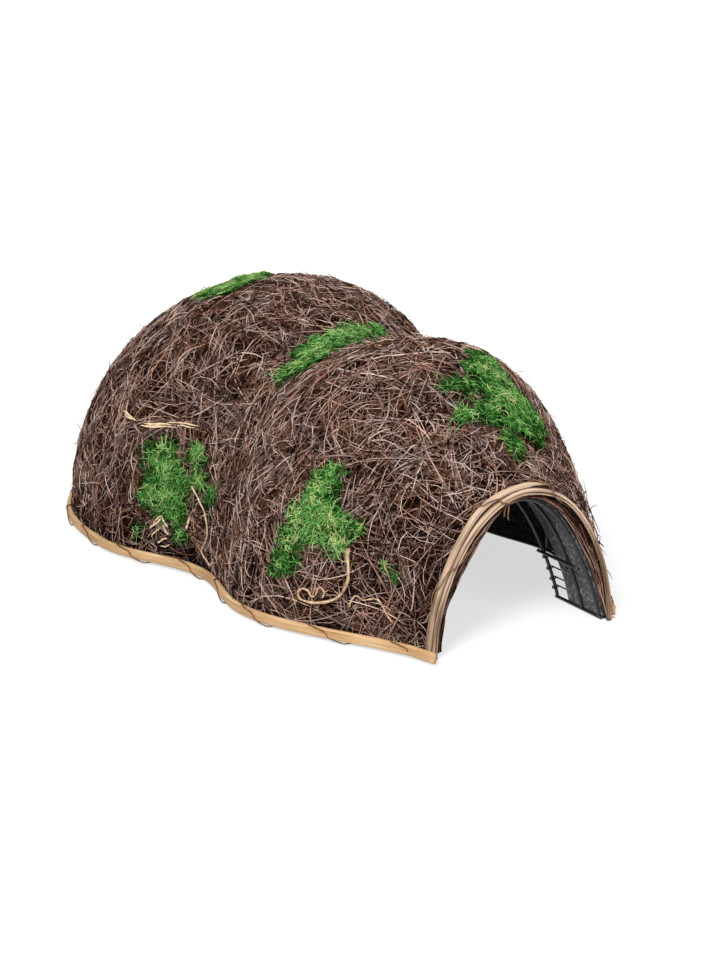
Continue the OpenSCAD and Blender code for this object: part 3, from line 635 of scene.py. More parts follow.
rimFinish = makeCaneFinish("splitCane", caneLook["rim"], False)
archFinish = makeCaneFinish("greyArchCane", caneLook["arch"], True)

# Rim strip: a flat cane bent along the floor outline, outside the thatch, with a split along it in places
rimLow, rimHigh = [np.array(c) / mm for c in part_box("rim_cane_left")]
rim = dict(thick=4.0, high=rimHigh[2] - rimLow[2], middleZ=(rimLow[2] + rimHigh[2]) / 2, lead=10.0,
           firstWalk=5.9, stepMm=5.0, splitMm=0.5)
rim["gap"] = rimHigh[1] - entranceY - backY - rim["thick"]
rim["middle"] = rim["gap"] + rim["thick"] / 2


def floorLine(walk, out):
    # left half of the floor outline pushed out along its normal in the floor plane
    y = walkY(walk)
    point = np.stack([-halfWidth(y), y], -1)
    before, after = walkY(np.maximum(walk - 1.5, 0)), walkY(np.minimum(walk + 1.5, walkEnd))
    t = unit(np.stack([-halfWidth(after) + halfWidth(before), after - before], -1))
    normal = np.stack([-t[:, 1], t[:, 0]], -1)
    return point + np.asarray(out).reshape(-1, 1) * normal, normal


def rimPath(line, side, up):
    # floor line on one side of the house at a height above the middle of the rim
    return np.column_stack([line[:, 0] * -side, line[:, 1] + entranceY, rim["middleZ"] + up + 0 * line[:, 0]])


def makeRim(name, side, led):
    # strip along the floor line; the near one clears the foot of the arch and runs straight on in front of it
    walk = np.linspace(rim["firstWalk"] if led else 0, walkEnd - 0.3, int(walkEnd / rim["stepMm"]))
    line, normal = floorLine(walk, rim["middle"])
    if led:
        corner = np.array([-house["entranceW"] / 2 - archCanes[0]["outer"] - gap,
                           archY - archDepth / 2 - entranceY])
        way = corner - floorLine(walk[:1], rim["gap"])[0][0]
        way /= np.linalg.norm(way)
        out = np.array([way[1], -way[0]])
        lead = corner + out * rim["thick"] / 2 + np.array([[rim["lead"]], [rim["lead"] / 2], [0]]) * way
        line, normal = np.concatenate([lead, line]), np.concatenate([np.tile(out, (3, 1)), normal])
    out = np.column_stack([normal[:, 0] * -side, normal[:, 1], 0 * normal[:, 0]])
    up = np.tile([0.0, 0.0, 1.0], (len(line), 1))
    run = np.linspace(0, 1, len(line))
    split = rim["splitMm"] * np.clip(np.sin(run * 23 + side) + 0.35 * np.sin(run * 61), 0, 1)
    thick = rim["thick"] / 2 * (1 + 0.06 * np.sin(run * 47) + 0.04 * np.sin(run * 83))
    *arrays, grain = stripMesh(rimPath(line, side, 0), out, up, thick, rim["high"] / 2, 5.0, split)
    makePiece(name, arrays, rimFinish, None, {"grain": grain})


# Entrance arch: three bent canes side by side round the mouth; offsets count outwards from the thatch edge,
# and angles are where a cane starts, ends and begins to taper
archLow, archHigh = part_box("arch_cane_inner")
archDepth = (archHigh[1] - archLow[1]) / mm
archY = (archHigh[1] + archLow[1]) / 2 / mm
archCanes = [
    dict(name="archCaneOuter", outer=1.0, inner=-3.0, start=180, end=72, taper=16.0, bulge=2.6, shift=0.0),
    dict(name="archCaneInner", outer=-3.4, inner=-6.6, start=180, end=0, taper=0.0, bulge=0.0, shift=2.6),
    dict(name="archCaneEdge", outer=-7.0, inner=-8.6, start=180, end=0, taper=0.0, bulge=0.0, shift=3.5),
]
archSteps = 90
farSlim, farShallow = 0.3, 0.35  # shares that the canes lose on the far leg


def archLine(angle, size, fullness, out):
    # arch in the plane across the house with its own fullness at the crown and in the legs, pushed out
    # along its normal
    def raw(a):
        c, s = np.cos(np.radians(a)), np.sin(np.radians(a))
        return np.stack([size[0] * power(c, 2 / fullness[0]), size[1] * power(s, 2 / fullness[1])], -1)
    t = unit(raw(angle + 1) - raw(angle - 1))
    normal = np.stack([t[:, 1], -t[:, 0]], -1)
    return raw(angle) + np.asarray(out).reshape(-1, 1) * normal, normal


def mouthLine(angle, out):
    # the arch line of the thatch edge
    return archLine(angle, (house["entranceW"] / 2, house["entranceH"]), (house["entranceRound"],) * 2, out)


def upright(line, y):
    # arch line stood up in the house at a place y
    return np.column_stack([line[:, 0], y + 0 * line[:, 0], line[:, 1]])


def caneShift(cane, angle):
    # the outer cane springs away over the left shoulder; past its end the other two move out into its place
    shoulder, spread, past = 118, 15, 95
    spring = cane["bulge"] * np.exp(-((angle - shoulder) / spread) ** 2)
    return spring + cane["shift"] * ease((cane["start"] - past - angle) / 30)


def makeArch(cane):
    # strip along the arch line; the canes grow slimmer on the far leg, and the outer one tapers out
    angle = np.linspace(cane["start"], cane["end"], archSteps)
    fade = np.clip((angle - cane["end"]) / cane["taper"], 0.06, 1) if cane["taper"] else np.ones(archSteps)
    far = ease((95 - angle) / 40)
    half = (cane["outer"] - cane["inner"]) / 2 * fade * (1 - farSlim * far)
    line, normal = mouthLine(angle, cane["outer"] - half + caneShift(cane, angle))
    path = upright(line, archY)
    path[:, 2] = np.maximum(path[:, 2], 0.1)
    across = np.tile([0.0, 1.0, 0.0], (archSteps, 1))
    deep = archDepth / 2 * (1 + 0.03 * np.sin(angle / 7)) * np.maximum(fade, 0.5) * (1 - farShallow * far)
    *arrays, grain = stripMesh(path, upright(normal, 0.0), across, half, deep, 3.2)
    grain = grain + [0, 0, cane["outer"] * mm]
    makePiece(cane["name"], arrays, archFinish, None, {"grain": grain})


for cane in archCanes:
    makeArch(cane)
makeRim("rimCaneLeft", -1, True)
makeRim("rimCaneRight", 1, False)
print("cane made")

# Binding wire, annealed and brown with rust: dull metal with a darker patina
lashFinish = grainFinish("annealedBindingWire", 0.6, 3.0, [(0.3, "#54351f"), (0.7, "#90664a")], Metallic=0.25)
lash = dict(wire=1.1, gap=0.05, square=10.0, linger=0.436, rimTurns=10, archTurns=4, rimWalks=(9.0, 637.0),
            archAngles=(162.0, 18.0), tailAngle=104.0, tailMm=(15, 12), steps=40, sides=8)


def squareLoop(t, halfA, halfB):
    # squared loop round a strip: a superellipse that clears the strip's corners by the wire and its gap, and
    # lingers on the strip's faces so that the wire crosses them slantwise
    t = t - lash["linger"] * np.sin(2 * t)
    q = 2 / lash["square"]
    swell = 2 ** (1 / lash["square"])
    reach = lash["gap"] + lash["wire"] / 2
    return swell * (halfA + reach) * power(np.cos(t), q), swell * (halfB + reach) * power(np.sin(t), q)


def lashTurns(turns, ends):
    # even places from end to end, and the turn of the wire at each
    i = np.arange(turns * lash["steps"] + 1)
    return ends[0] + (ends[1] - ends[0]) * i / i[-1], 2 * np.pi * i / lash["steps"]


def makeRimLash(name, side):
    # squared loops that travel along the rim
    walk, turn = lashTurns(lash["rimTurns"], lash["rimWalks"])
    out, up = squareLoop(turn, rim["thick"] / 2, rim["high"] / 2)
    path = rimPath(floorLine(walk, rim["middle"] + out)[0], side, up)
    core = rimPath(floorLine(walk, rim["middle"])[0], side, 0)
    wound = oneStrand(path, path - core, lash["wire"] / 2, lash["sides"])
    makePiece(name, wound, lashFinish)


def makeArchLash():
    # squared loops round the canes that are there at each angle
    angle, turn = lashTurns(lash["archTurns"], lash["archAngles"])
    outer, middleCane, inner = archCanes
    blend = np.clip((angle - outer["end"]) / 14 + 1, 0, 1)
    cover = middleCane["outer"] + (outer["outer"] - middleCane["outer"]) * blend + caneShift(outer, angle)
    along, out = squareLoop(turn, archDepth / 2, (cover - inner["inner"]) / 2)
    middle = (cover + inner["inner"]) / 2 + caneShift(inner, angle)
    path = upright(mouthLine(angle, middle + out)[0], archY + along)
    core = upright(mouthLine(angle, middle)[0], archY)
    radius = lash["wire"] / 2
    wound = strands(path[None], (path - core)[None], np.full((1, len(path)), radius), lash["sides"])
    # the ends of the tie at the crown hang down inside the mouth
    s = np.linspace(0, 1, 9)
    top = mouthLine(np.array([lash["tailAngle"]]), inner["inner"] + 1)[0][0]
    drop = np.stack([top[1] - tail * s for tail in lash["tailMm"]])
    lean = top[0] + np.stack([2.4 * s, -1.2 * s]) + 0.6 * np.sin(6 * s)
    tails = np.stack([lean, np.stack([archY - 2 + 2 * s, archY + 0.5 + 0 * s]), drop], -1)
    inward = np.broadcast_to([0.0, 1.0, 0.0], tails.shape)
    loose = strands(tails, inward, np.full(tails.shape[:2], radius), lash["sides"])
    makePiece("archLashing", joinStrands([wound, loose])[:3], lashFinish)


makeRimLash("rimLashingLeft", -1)
makeRimLash("rimLashingRight", 1)
makeArchLash()
print("lashing made")

# Steel wire with a black powder coat: satin, with a faint orange peel
wireFinish = grainFinish("blackPowderCoat", 0.42, 0.8, [(0.3, "#0f0f10"), (0.7, "#1c1c1e")], (0.2, 0.2))
# Wire tunnel behind the entrance; the lengths and heights count from the entrance plane and the floor
tunnel = dict(size=(80.1, 111.1), fullness=(2.0, 1.1), length=57.0, midY=24.0, frontY=1.8,
              feltEnd=45.0, feltStart=0.4, stringerZ=45.0, stringerFrom=6.0,
              tie=1.2, tieAngles=(16.0, 22.0, 28.0, 34.0))
wires = dict(sides=10, backAngle=36, ringWalk=41.2, firstWalk=12, sideAngle=180 * 9 / 32, sideEnd=45)
flip = [-1, 1, 1]


def makeWire(name, path, reference):
    # round wire along a path counted from the entrance plane
    path = np.asarray(path, float) + [0, entranceY, 0]
    tube = oneStrand(path, np.asarray(reference, float), wireR, wires["sides"])
    makePiece(name, tube, wireFinish)


def local(points):
    # back to distances behind the entrance
    return points - [0, entranceY, 0]


def makeHoop(name, y):
    # legs of the hoop follow the dome set in, and stand on the base ring
    angle = np.linspace(4, 176, 73)
    foot = halfWidth(y, hoopIn)
    legs = local(domePoint(np.full(73, y), angle, hoopIn))
    makeWire(name, np.concatenate([[[foot, y, footZ]], legs, [[-foot, y, footZ]]]), [0, 1, 0])


def longWire(walks, angle):
    # line along the dome at one angle, set in under the felt
    return local(domePoint(setInY(walkY(walks), longWireIn), np.full(len(walks), angle), longWireIn))


backHoopY = rearY + (backDepth - hoopIn) * math.sin(math.radians(wires["backAngle"]))
for name, y in (("frontHoop", frontY), ("waistHoop", waistY), ("rearHoop", rearY),
                ("backHoop", backHoopY)):
    makeHoop(name, float(y))

ringY = setInY(walkY(np.linspace(wires["ringWalk"], walkEnd - 4, 110)), hoopIn)
ringRight = np.column_stack([halfWidth(ringY, hoopIn), ringY, np.full(110, wireR)])
ringTip = [[0, backY - hoopIn, wireR]]
makeWire("baseRing", np.concatenate([ringRight, ringTip, ringRight[::-1] * flip]), [0, 0, 1])
ridge = longWire(np.linspace(wires["firstWalk"], walkEnd - 10, 90), 90.0)
makeWire("ridgeWire", np.concatenate([ridge, [[0, backY - longWireIn, footZ]]]), [1, 0, 0])
sideEnd = rearY + backDepth * math.radians(wires["sideEnd"])
sideRight = longWire(np.linspace(wires["firstWalk"], sideEnd, 70), wires["sideAngle"])
makeWire("sideWireRight", sideRight, [0, 0, 1])
makeWire("sideWireLeft", sideRight * flip, [0, 0, 1])


def tunnelLine(angle, out):
    # the arch line of the tunnel hoops
    return archLine(angle, tunnel["size"], tunnel["fullness"], out)


def tunnelAngle(z):
    # angle in degrees at which the tunnel arch reaches a height
    return np.degrees(np.arcsin((z / tunnel["size"][1]) ** (tunnel["fullness"][1] / 2)))


hoopStart = tunnelAngle(footZ)
hoopLine = tunnelLine(np.linspace(hoopStart, 180 - hoopStart, 81), 0)[0]
for name, y in (("entranceHoop", tunnel["frontY"]), ("tunnelMidHoop", tunnel["midY"]),
                ("tunnelRearHoop", tunnel["length"])):
    makeWire(name, upright(hoopLine, y), [0, 1, 0])
stringerAt = tunnelLine(np.array([tunnelAngle(tunnel["stringerZ"])]), -house["wire"] - gap)[0][0]
for side, word in ((-1, "Left"), (1, "Right")):
    for name, x, start, z in (("tunnelBase", tunnel["size"][0], 0, wireR),
                              ("tunnelStringer", stringerAt[0], tunnel["stringerFrom"], stringerAt[1])):
        y = np.linspace(start, tunnel["length"] + house["wire"], 8)
        makeWire(name + word, np.column_stack([np.full(8, side * x), y, np.full(8, z)]), [0, 0, 1])
print("wires made")


# Needled felt from recycled fibre: charcoal, matt and hairy, with pale flecks of fibre in it
def makeFeltFinish():
    # fibre noise for the ground, and a coarser one for the flecks
    finish, tree, shader = newFinish("needledFelt", 0.95, 0.2, **{"Sheen Weight": 0.2})
    fibre = barkNoise(tree, 1.1)
    ground = rampOf(tree, fibre, [(0.3, "#1a1b1c"), (0.7, "#4b4c4f")])
    fleck = rampOf(tree, barkNoise(tree, 2.8, detail=6.0), [(0.5, "#000000"), (0.68, "#ffffff")])
    mixed = addNode(tree, "Mix", {0: fleck, 6: ground, 7: linear("#9b9c9e")}, data_type="RGBA")
    coat(tree, shader, mixed.outputs[2], fibre, 0.6, 0.6)
    return finish


feltFinish = makeFeltFinish()


def layFelt(name, node, outer, inner, rests):
    # sheet between two grids
    piece = makePiece(name, shellMesh(outer, inner), feltFinish, [node])


def domeFelt(start, end, rows):
    # felt dome between its two depths, with shallow quilting waves inside its thickness
    w = np.linspace(start, end, rows)[:, None]
    a = np.linspace(0, 180, 91)[None]
    quilt, trim = 0.12, 0.15
    wave = (quilt * np.sin(w / 9 + 2 * np.sin(a / 13)) * np.sin(a / 4.1))[..., None] * [1, 0, 0]
    return [domePoint(setInY(walkY(w), depth), a, depth + inset) - wave
            for depth, inset in ((feltOut, trim), (feltIn, -trim))]


def tunnelFelt():
    # felt arch over the tunnel hoops; its rear edge is cut a little unevenly
    angle = np.linspace(0, 180, 81)
    y = np.linspace(0, 1, 17)[:, None]
    edge = tunnel["feltEnd"] - 0.8 + 0.8 * np.sin(angle / 6.1)
    depth = tunnel["feltStart"] + (edge[None] - tunnel["feltStart"]) * y
    sag = 0.25 * np.sin(angle[None] / 5 + y * 5)
    layers = []
    for out in (wireR + gap + house["felt"], wireR + gap):
        x, z = np.broadcast_to(tunnelLine(angle, out)[0].T[:, None], (2, *depth.shape))
        layers.append(np.stack([x, depth + entranceY, np.maximum(z + sag * (z > 4), 0)], -1))
    return layers


layFelt("frontFelt", "front_lining", *domeFelt(12.0, waistY - 0.2, 40), ["thatchBedFront"])
layFelt("rearFelt", "rear_lining", *domeFelt(waistY + 0.2, walkEnd - 10, 60), ["thatchBedRear"])
layFelt("tunnelFelt", "tunnel_lining", *tunnelFelt(), ["tunnelMidHoop", "entranceHoop"])

# Twigs that line the mouth between the canes and the tunnel felt; offsets in millimetres, spans in degrees
mouthTwigs = dict(count=560, span=(9, 34), inner=3.4, outer=-4.6, overhang=3.2, y=(-1.6, 4.5),
                  frontY=(-3.4, -1.6), radius=(0.35, 0.75), tone=(0.05, 0.66), steps=9, sides=3,
                  nearFrom=95, nearShare=1.7)


def makeMouthTwigs():
    # each twig follows the arch over a span of angles, at a share of the way from the canes' line to the
    # felt at the same height, and wavers in and out; on the near leg the twigs overhang the canes
    m = mouthTwigs
    n, steps, sides = m["count"], m["steps"], m["sides"]
    middle = rng.uniform(4, 176, (n, 1))
    span = rng.uniform(*m["span"], (n, 1)) * np.linspace(-0.5, 0.5, steps)[None]
    angle = np.clip(middle + span, 1.5, 178.5)
    most = np.where(middle > m["nearFrom"], m["nearShare"], 1.0)
    share = rng.uniform(0, 1, (n, 1)) * most
    share = np.clip(share + 0.12 * np.sin(span / 5 + rng.uniform(0, rollEnd, (n, 1))), 0, most)
    flat = angle.ravel()
    edge, _ = mouthLine(flat, m["outer"] - 4 * ease((flat - 60) / 30))
    felt = tunnelAngle(np.clip(edge[:, 1], 1, tunnel["size"][1]))
    lining, _ = tunnelLine(np.where(flat > 90, 180 - felt, felt), m["inner"])
    over = np.maximum(lining[:, 0], edge[:, 0] + m["overhang"])
    lining[:, 0] = np.where(flat > m["nearFrom"], over, lining[:, 0])
    line = edge + (lining - edge) * share.ravel()[:, None]
    front, within = rng.uniform(*m["frontY"], (n, 1)), rng.uniform(*m["y"], (n, 1))
    y = np.where(share.max(1, keepdims=True) > 0.9, front, within) + 0.7 * np.sin(span / 4)
    line[:, 1] = np.maximum(line[:, 1], 0.8)
    paths = upright(line, entranceY + y.ravel()).reshape(n, -1, 3)
    radius = rng.uniform(*m["radius"], (n, 1)) * (1 - 0.5 * np.abs(np.linspace(-1, 1, steps)) ** 3)
    up = np.broadcast_to([0.0, -1.0, 0.0], paths.shape)
    arrays = strands(paths, up, radius, sides, rng.uniform(0, rollEnd, n))
    attributes = {"tone": np.repeat(rng.uniform(*m["tone"], n), steps * sides),
                  "warmth": np.repeat(rng.uniform(0, twig["warmth"], n), steps * sides)}
    makePiece("twigsMouth", arrays, twigFinish, (), attributes)


makeMouthTwigs()

# Black polyester cord, tied from the felt to the inner hoop: matt, with a fine twist
tieFinish = grainFinish("blackCord", 0.85, 0.7, [(0.3, "#0b0b0c"), (0.7, "#191a1b")])


def makeTies():
    # each tie runs from the felt edge to the inner hoop over its straight share, and turns once round it
    start, straight, sides = tunnel["feltEnd"] + gap, 0.45, 7
    s = np.linspace(0, 1, 25)
    angles = np.array(tunnel["tieAngles"])
    line, normal = tunnelLine(np.concatenate([angles, 180 - angles]), 0)
    out = wireR + gap + tunnel["tie"] / 2
    hook = np.clip((s - straight) / (1 - straight), 0, 1) * 1.7 * np.pi
    offset = np.where(s < straight, out, out * np.cos(hook))
    reach = start + (tunnel["length"] - start) * np.clip(s / straight, 0, 1)
    y = np.where(s < straight, reach, tunnel["length"] + out * np.sin(hook)) + entranceY
    x, z = [line[:, None, i] + normal[:, None, i] * offset for i in (0, 1)]
    paths = np.stack([x, np.broadcast_to(y, x.shape), z], -1)
    reference = np.stack([-normal[:, 1], 0 * normal[:, 0], normal[:, 0]], -1)[:, None] + 0 * paths
    arrays = strands(paths, reference, np.full(x.shape, tunnel["tie"] / 2), sides)[:3]
    makePiece("feltTies", arrays, tieFinish, ["lining_ties"])


makeTies()
print("felt made")

# Preserved moss: dyed feathery stems, bright green with yellow and olive ends, soft and matt
mossLook = dict(
    stops=[(0.0, "#0b1b03"), (0.2, "#214610"), (0.42, "#437a33"), (0.6, "#69a853"), (0.78, "#94bd72"),
           (0.9, "#bccb8a"), (1.0, "#c6bd7c")],
    cloudMm=4.0, cloudShare=0.3, darken=0.15)


def makeMossFinish():
    # tone of the strand plus a cloudy noise
    look = mossLook
    finish, tree, shader = newFinish("preservedMoss", 0.85, 0.08)
    cloud = barkNoise(tree, look["cloudMm"], detail=2.0)
    level = mathOf(tree, "MULTIPLY_ADD", cloud, look["cloudShare"], attributeOf(tree, "tone"))
    level = mathOf(tree, "SUBTRACT", level, look["darken"], clamp=True)
    coat(tree, shader, rampOf(tree, level, look["stops"]))
    return finish


mossFinish = makeMossFinish()

# Each patch is a set of overlapping lobes: distance behind the entrance, angle, half length, half width and
# paleness, which on the front top is lowered as painted shade; the far and back patches copy the habit of the
# ones in view
mossPatches = dict(
    mossRearTop=[
        (372, 104, 9, 14, 0.1), (380, 98, 12, 14, 0.1), (386, 108, 12, 9, 0.1), (384, 93, 8, 8, 0.1)],
    mossWaist=[
        (242, 115, 9, 9, 0.12), (243, 110, 13, 10, 0.12), (249, 104, 15, 12, 0.12), (257, 97, 15, 14, 0.12),
        (265, 89, 13, 13, 0.12), (273, 83, 9, 13, 0.12), (278, 76, 4, 12, 0.12)],
    # the front top lobes are painted darker: painted shade on the top, which the lamps light most
    mossFrontTop=[
        (118, 73, 14, 15, -0.2), (103, 78, 13, 15, -0.15), (97, 73, 17, 20, -0.1), (78, 73, 17, 27, -0.1),
        (63, 83, 9, 18, -0.1), (76, 67, 15, 20, -0.1), (68, 63, 12, 13, -0.15), (64, 95, 6, 11, -0.1),
        (53, 75, 8, 16, -0.1), (37, 81, 10, 7, -0.05), (26, 83, 6, 4, -0.05), (89, 88, 8, 12, -0.1),
        (89, 95, 4, 5, -0.1), (47, 66, 5, 8, -0.4)],
    mossRearSide=[
        (316, 155, 9, 8, -0.1), (306, 153, 9, 8, -0.1), (301, 158.5, 22, 13, 0.06), (301, 165, 21, 12, 0.2),
        (288, 164, 13, 12, 0.1), (275, 149.5, 11, 5, 0.05), (277, 152.5, 7, 6, 0.05), (266, 157, 9, 5, 0.2),
        (249, 159, 5, 8, 0.0), (318, 173.5, 3, 5, -0.1), (279, 171.5, 6, 6, 0.1), (277, 167, 4, 6, 0.0)],
    mossFrontSide=[
        (96, 139, 7, 7, 0.0), (100, 143, 10, 9, 0.0), (100, 147, 14, 11, 0.1), (100, 153, 18, 13, 0.36),
        (85, 151, 14, 13, 0.36), (69, 149, 8, 7, 0.0), (112, 159.5, 9, 9, 0.15), (112, 164, 11, 7, -0.1),
        (119, 167, 7, 4, 0.1), (77, 155, 11, 6, 0.3)],
    mossSprig=[
        (41, 152.8, 1.8, 1.2, 0.15), (36.5, 154, 1.6, 0.5, 0.15), (33, 155, 1.6, 0.3, 0.15),
        (30, 156, 1.6, 0.3, 0.1)],
    mossFarFront=[(170, 24, 18, 17, 0.1), (160, 28, 13, 12, 0.0), (182, 20, 12, 12, 0.2)],
    mossFarRear=[(325, 22, 22, 18, 0.1), (308, 27, 14, 13, 0.0), (342, 18, 14, 10, 0.2)],
    mossBack=[(505, 82, 11, 22, 0.1), (497, 90, 11, 16, 0.0), (512, 72, 8, 14, 0.2)],
)
mossStrand = dict(clumpMm=13.0, inClump=11, length=(4, 11), arm=(12, 24), armShare=0.03, radius=(0.26, 0.5),
                  bend=0.3, high=4.6, steps=5, sides=3, scatter=1.2, waver=0.2,
                  shade=(0.34, 0.16), toneSpread=0.15)
sprig = dict(inClump=4, heading=2.62, headingSpread=0.3)  # the sprig is a few strands that run one way


def makeMoss(name, lobes):
    # clumps spread over each lobe, every clump a spray of short curled strands that share a shade and a
    # height; a few long arms reach over the edge
    m = mossStrand
    single = name == "mossSprig"
    lobes = np.array(lobes, float)
    counts = np.maximum(2, np.pi * lobes[:, 2] * lobes[:, 3] / m["clumpMm"]).astype(int)
    lobe = lobes[np.repeat(np.arange(len(lobes)), counts)]
    clumps = len(lobe)
    reach = np.sqrt(rng.random(clumps)) * rng.uniform(0.8, 1.12, clumps)
    t = rng.uniform(0, 2 * np.pi, clumps)
    y = lobe[:, 0] + reach * lobe[:, 2] * np.cos(t)
    angle = lobe[:, 1] + reach * lobe[:, 3] * np.sin(t) / arcPerDegree(lobe[:, 0])
    shade = rng.normal(*m["shade"], clumps) + 0.75 * lobe[:, 4] * rng.uniform(0.3, 1, clumps)
    crown = m["high"] * np.clip(1.1 - reach ** 2, 0.1, 1) * rng.random(clumps)
    inClump = sprig["inClump"] if single else m["inClump"]
    y, angle, shade, crown = [np.repeat(values, inClump) for values in (y, angle, shade, crown)]
    n = len(y)
    y = y + rng.normal(0, m["scatter"], n)
    angle = np.clip(angle + rng.normal(0, m["scatter"], n) / arcPerDegree(y), 1, 179)
    arm = rng.random(n) < m["armShare"]
    length = np.where(arm, rng.uniform(*m["arm"], n), rng.uniform(*m["length"], n))
    bend = rng.normal(0, m["bend"], n) * np.where(arm, 0.3, 1)
    if single:
        heading = rng.normal(sprig["heading"], sprig["headingSpread"], n)
    else:
        heading = rng.uniform(0, 2 * np.pi, n)
    walks, angles = walkOver(toWalk(y), angle, heading, bend, length, m["steps"], m["waver"])
    s = np.linspace(0, 1, m["steps"])[None]
    rise = rng.uniform(0.2, 2.0, (n, 1)) * np.sin(np.pi * s * rng.uniform(0.5, 1.3, (n, 1)))
    lift = 0.6 + crown[:, None] + rise
    lift = np.maximum(lift + rng.normal(0, 0.8, (n, 1)) * s, 0.2)
    paths, normal = raised(walks, angles, lift)
    radius = rng.uniform(*m["radius"], (n, 1)) * (1 - 0.5 * s ** 2)
    # strands low in a clump are darker and high ones paler, as painted shade; the tips are paler too
    tone = shade[:, None] + rng.normal(0, m["toneSpread"], (n, 1)) + 0.09 * (lift - 3.0) + 0.12 * (s - 0.5)
    arrays = strands(paths, normal, radius, m["sides"], rng.uniform(0, rollEnd, n))
    tones = np.repeat(np.clip(tone, 0.02, 1).ravel(), m["sides"])
    makePiece(name, arrays, mossFinish, None, {"tone": tones})
    print(name, n, "strands")


for name, lobes in mossPatches.items():
    makeMoss(name, lobes)


# Peeled root, dried: pale tan with fine rings and darker scars
def makeRootFinish(name, stops):
    # scars and fine rings, as two noises
    finish, tree, shader = newFinish(name, 0.62)
    fine = barkNoise(tree, 0.9)
    level = mathOf(tree, "MULTIPLY_ADD", fine, 0.4, barkNoise(tree, 3.2))
    level = mathOf(tree, "SUBTRACT", level, 0.2, clamp=True)
    coat(tree, shader, rampOf(tree, level, stops), fine, 0.4, 0.5)
    return finish


rootFinishes = dict(
    peeled=makeRootFinish("peeledRoot", [(0.2, "#5f3f29"), (0.42, "#ad8764"), (0.72, "#e2c6a4")]),
    bleached=makeRootFinish("bleachedStem", [(0.2, "#96775a"), (0.45, "#c9ad8c"), (0.75, "#e6d3b7")]))

# Roots by their routes: distance behind the entrance, angle, height above the thatch
roots = dict(
    rootHook=dict(finish="peeled", thick=(3.5, 1.1), route=[
        (65, 154, 5.4), (64, 156.5, 4.8), (62, 159, 4), (61, 162.5, 2.6), (65, 167, 1), (73, 169.8, 0.4),
        (84, 171.5, 0.4), (94, 171.8, 0.8), (97, 170.5, 1.4), (94, 169, 2), (89, 169, 2.2), (86.5, 170, 1.6),
        (83.5, 169.6, 2), (81.5, 167.6, 3), (79, 167, 3.2), (76.5, 168, 2.6), (78, 169.4, 1.6)]),
    rootTendril=dict(finish="peeled", thick=(1.7, 1.1), route=[
        (58, 169.5, 0), (57, 167.5, 0.4), (54, 165.8, 0.4), (49, 166.3, 0), (45, 165.5, 0), (39, 164.5, 0),
        (34, 165.8, 0), (31, 167.8, 0), (25, 169.8, 0)]),
    paleStem=dict(finish="bleached", thick=(1.5, 1.0), route=[
        (270, 159, 3), (258, 162, 2), (249, 164.8, 1), (243, 169.5, 0.4), (250, 173.8, 0.4),
        (243, 175.4, 0.4), (234, 176.2, 0.6)]),
)
rootTube = dict(seat=1.4, perPiece=9, sides=10)  # seat: millimetres from the dome to the underside of a root


def makeRoot(name, root):
    # tube along the route on the dome, thinning from its first end to its last, with knots and a slight waver
    curve = spline(root["route"], rootTube["perPiece"])
    s = np.linspace(0, 1, len(curve))
    thick = root["thick"][0] + (root["thick"][1] - root["thick"][0]) * s ** 0.5
    thick = thick * (1 + 0.12 * np.sin(s * 41) + 0.09 * np.sin(s * 97 + 1))
    path, normal = raised(toWalk(curve[:, 0]), curve[:, 1], rootTube["seat"] + curve[:, 2] + thick / 2)
    tube = oneStrand(path, normal, thick / 2, rootTube["sides"])
    makePiece(name, tube, rootFinishes[root["finish"]])


for name, root in roots.items():
    makeRoot(name, root)

# Split pine chips: pale straight-grained wood with torn ends
chipFinish = grainFinish("splitPine", 0.7, 0.9, [(0.3, "#bd976c"), (0.55, "#e0c7a0"), (0.75, "#f1e3c8")],
                         (0.6, 0.5), (1, 0.12, 1))
# Chips by their two ends, each a distance behind the entrance and an angle, and their width in millimetres
chips = dict(thick=1.5, seat=1.5, steps=15, places=[
    (365, 149.2, 342, 149.9, 2.2), (361, 149.9, 347, 150.1, 1.8), (336, 150.6, 315, 148.2, 2.2),
    (334, 149.7, 309, 146.9, 2.0), (326, 149.8, 305, 146.9, 1.4), (313, 146.6, 285, 143.2, 1.6),
    (304, 146.2, 288, 144.3, 1.3), (308, 173.0, 297, 169.6, 2.2), (297, 169.3, 290, 171.5, 2.0),
    (272, 170.5, 269, 167.2, 2.4), (300, 175.4, 290, 173.8, 1.8), (305, 171.4, 296, 168.6, 1.5),
    (306, 174.6, 297, 171.6, 1.4), (296, 171.2, 289, 173.0, 1.4), (297, 176.2, 287, 175.2, 1.3)])


def makeChips():
    # each chip is a flat superellipse bar between its ends on the dome, wavy and torn narrower at its ends
    parts, start = [], 0
    s = np.linspace(-1, 1, chips["steps"])
    half = chips["thick"] / 2
    for i, (y0, angle0, y1, angle1, wide) in enumerate(chips["places"]):
        ys = (y0 + y1) / 2 + (y1 - y0) / 2 * s
        wave = 0.5 * np.sin(s * 3 + i) / arcPerDegree((y0 + y1) / 2)
        angles = (angle0 + angle1) / 2 + (angle1 - angle0) / 2 * s + wave
        path, normal = raised(toWalk(ys), angles, chips["seat"] + half)
        across = np.cross(normal, unit(np.gradient(path, axis=0)))
        fade = np.clip((1 - np.abs(s) ** 4) * (0.85 + 0.2 * np.sin(s * 9 + 2 * i)), 0.18, 1)
        points, quads, tris, _ = stripMesh(path, normal, across, half * fade, wide / 2 * fade, 3.0)
        parts.append((points, quads + start, tris + start))
        start += len(points)
    makePiece("woodChips", [np.concatenate(part) for part in zip(*parts)], chipFinish)


makeChips()
print("moss, roots and chips made")


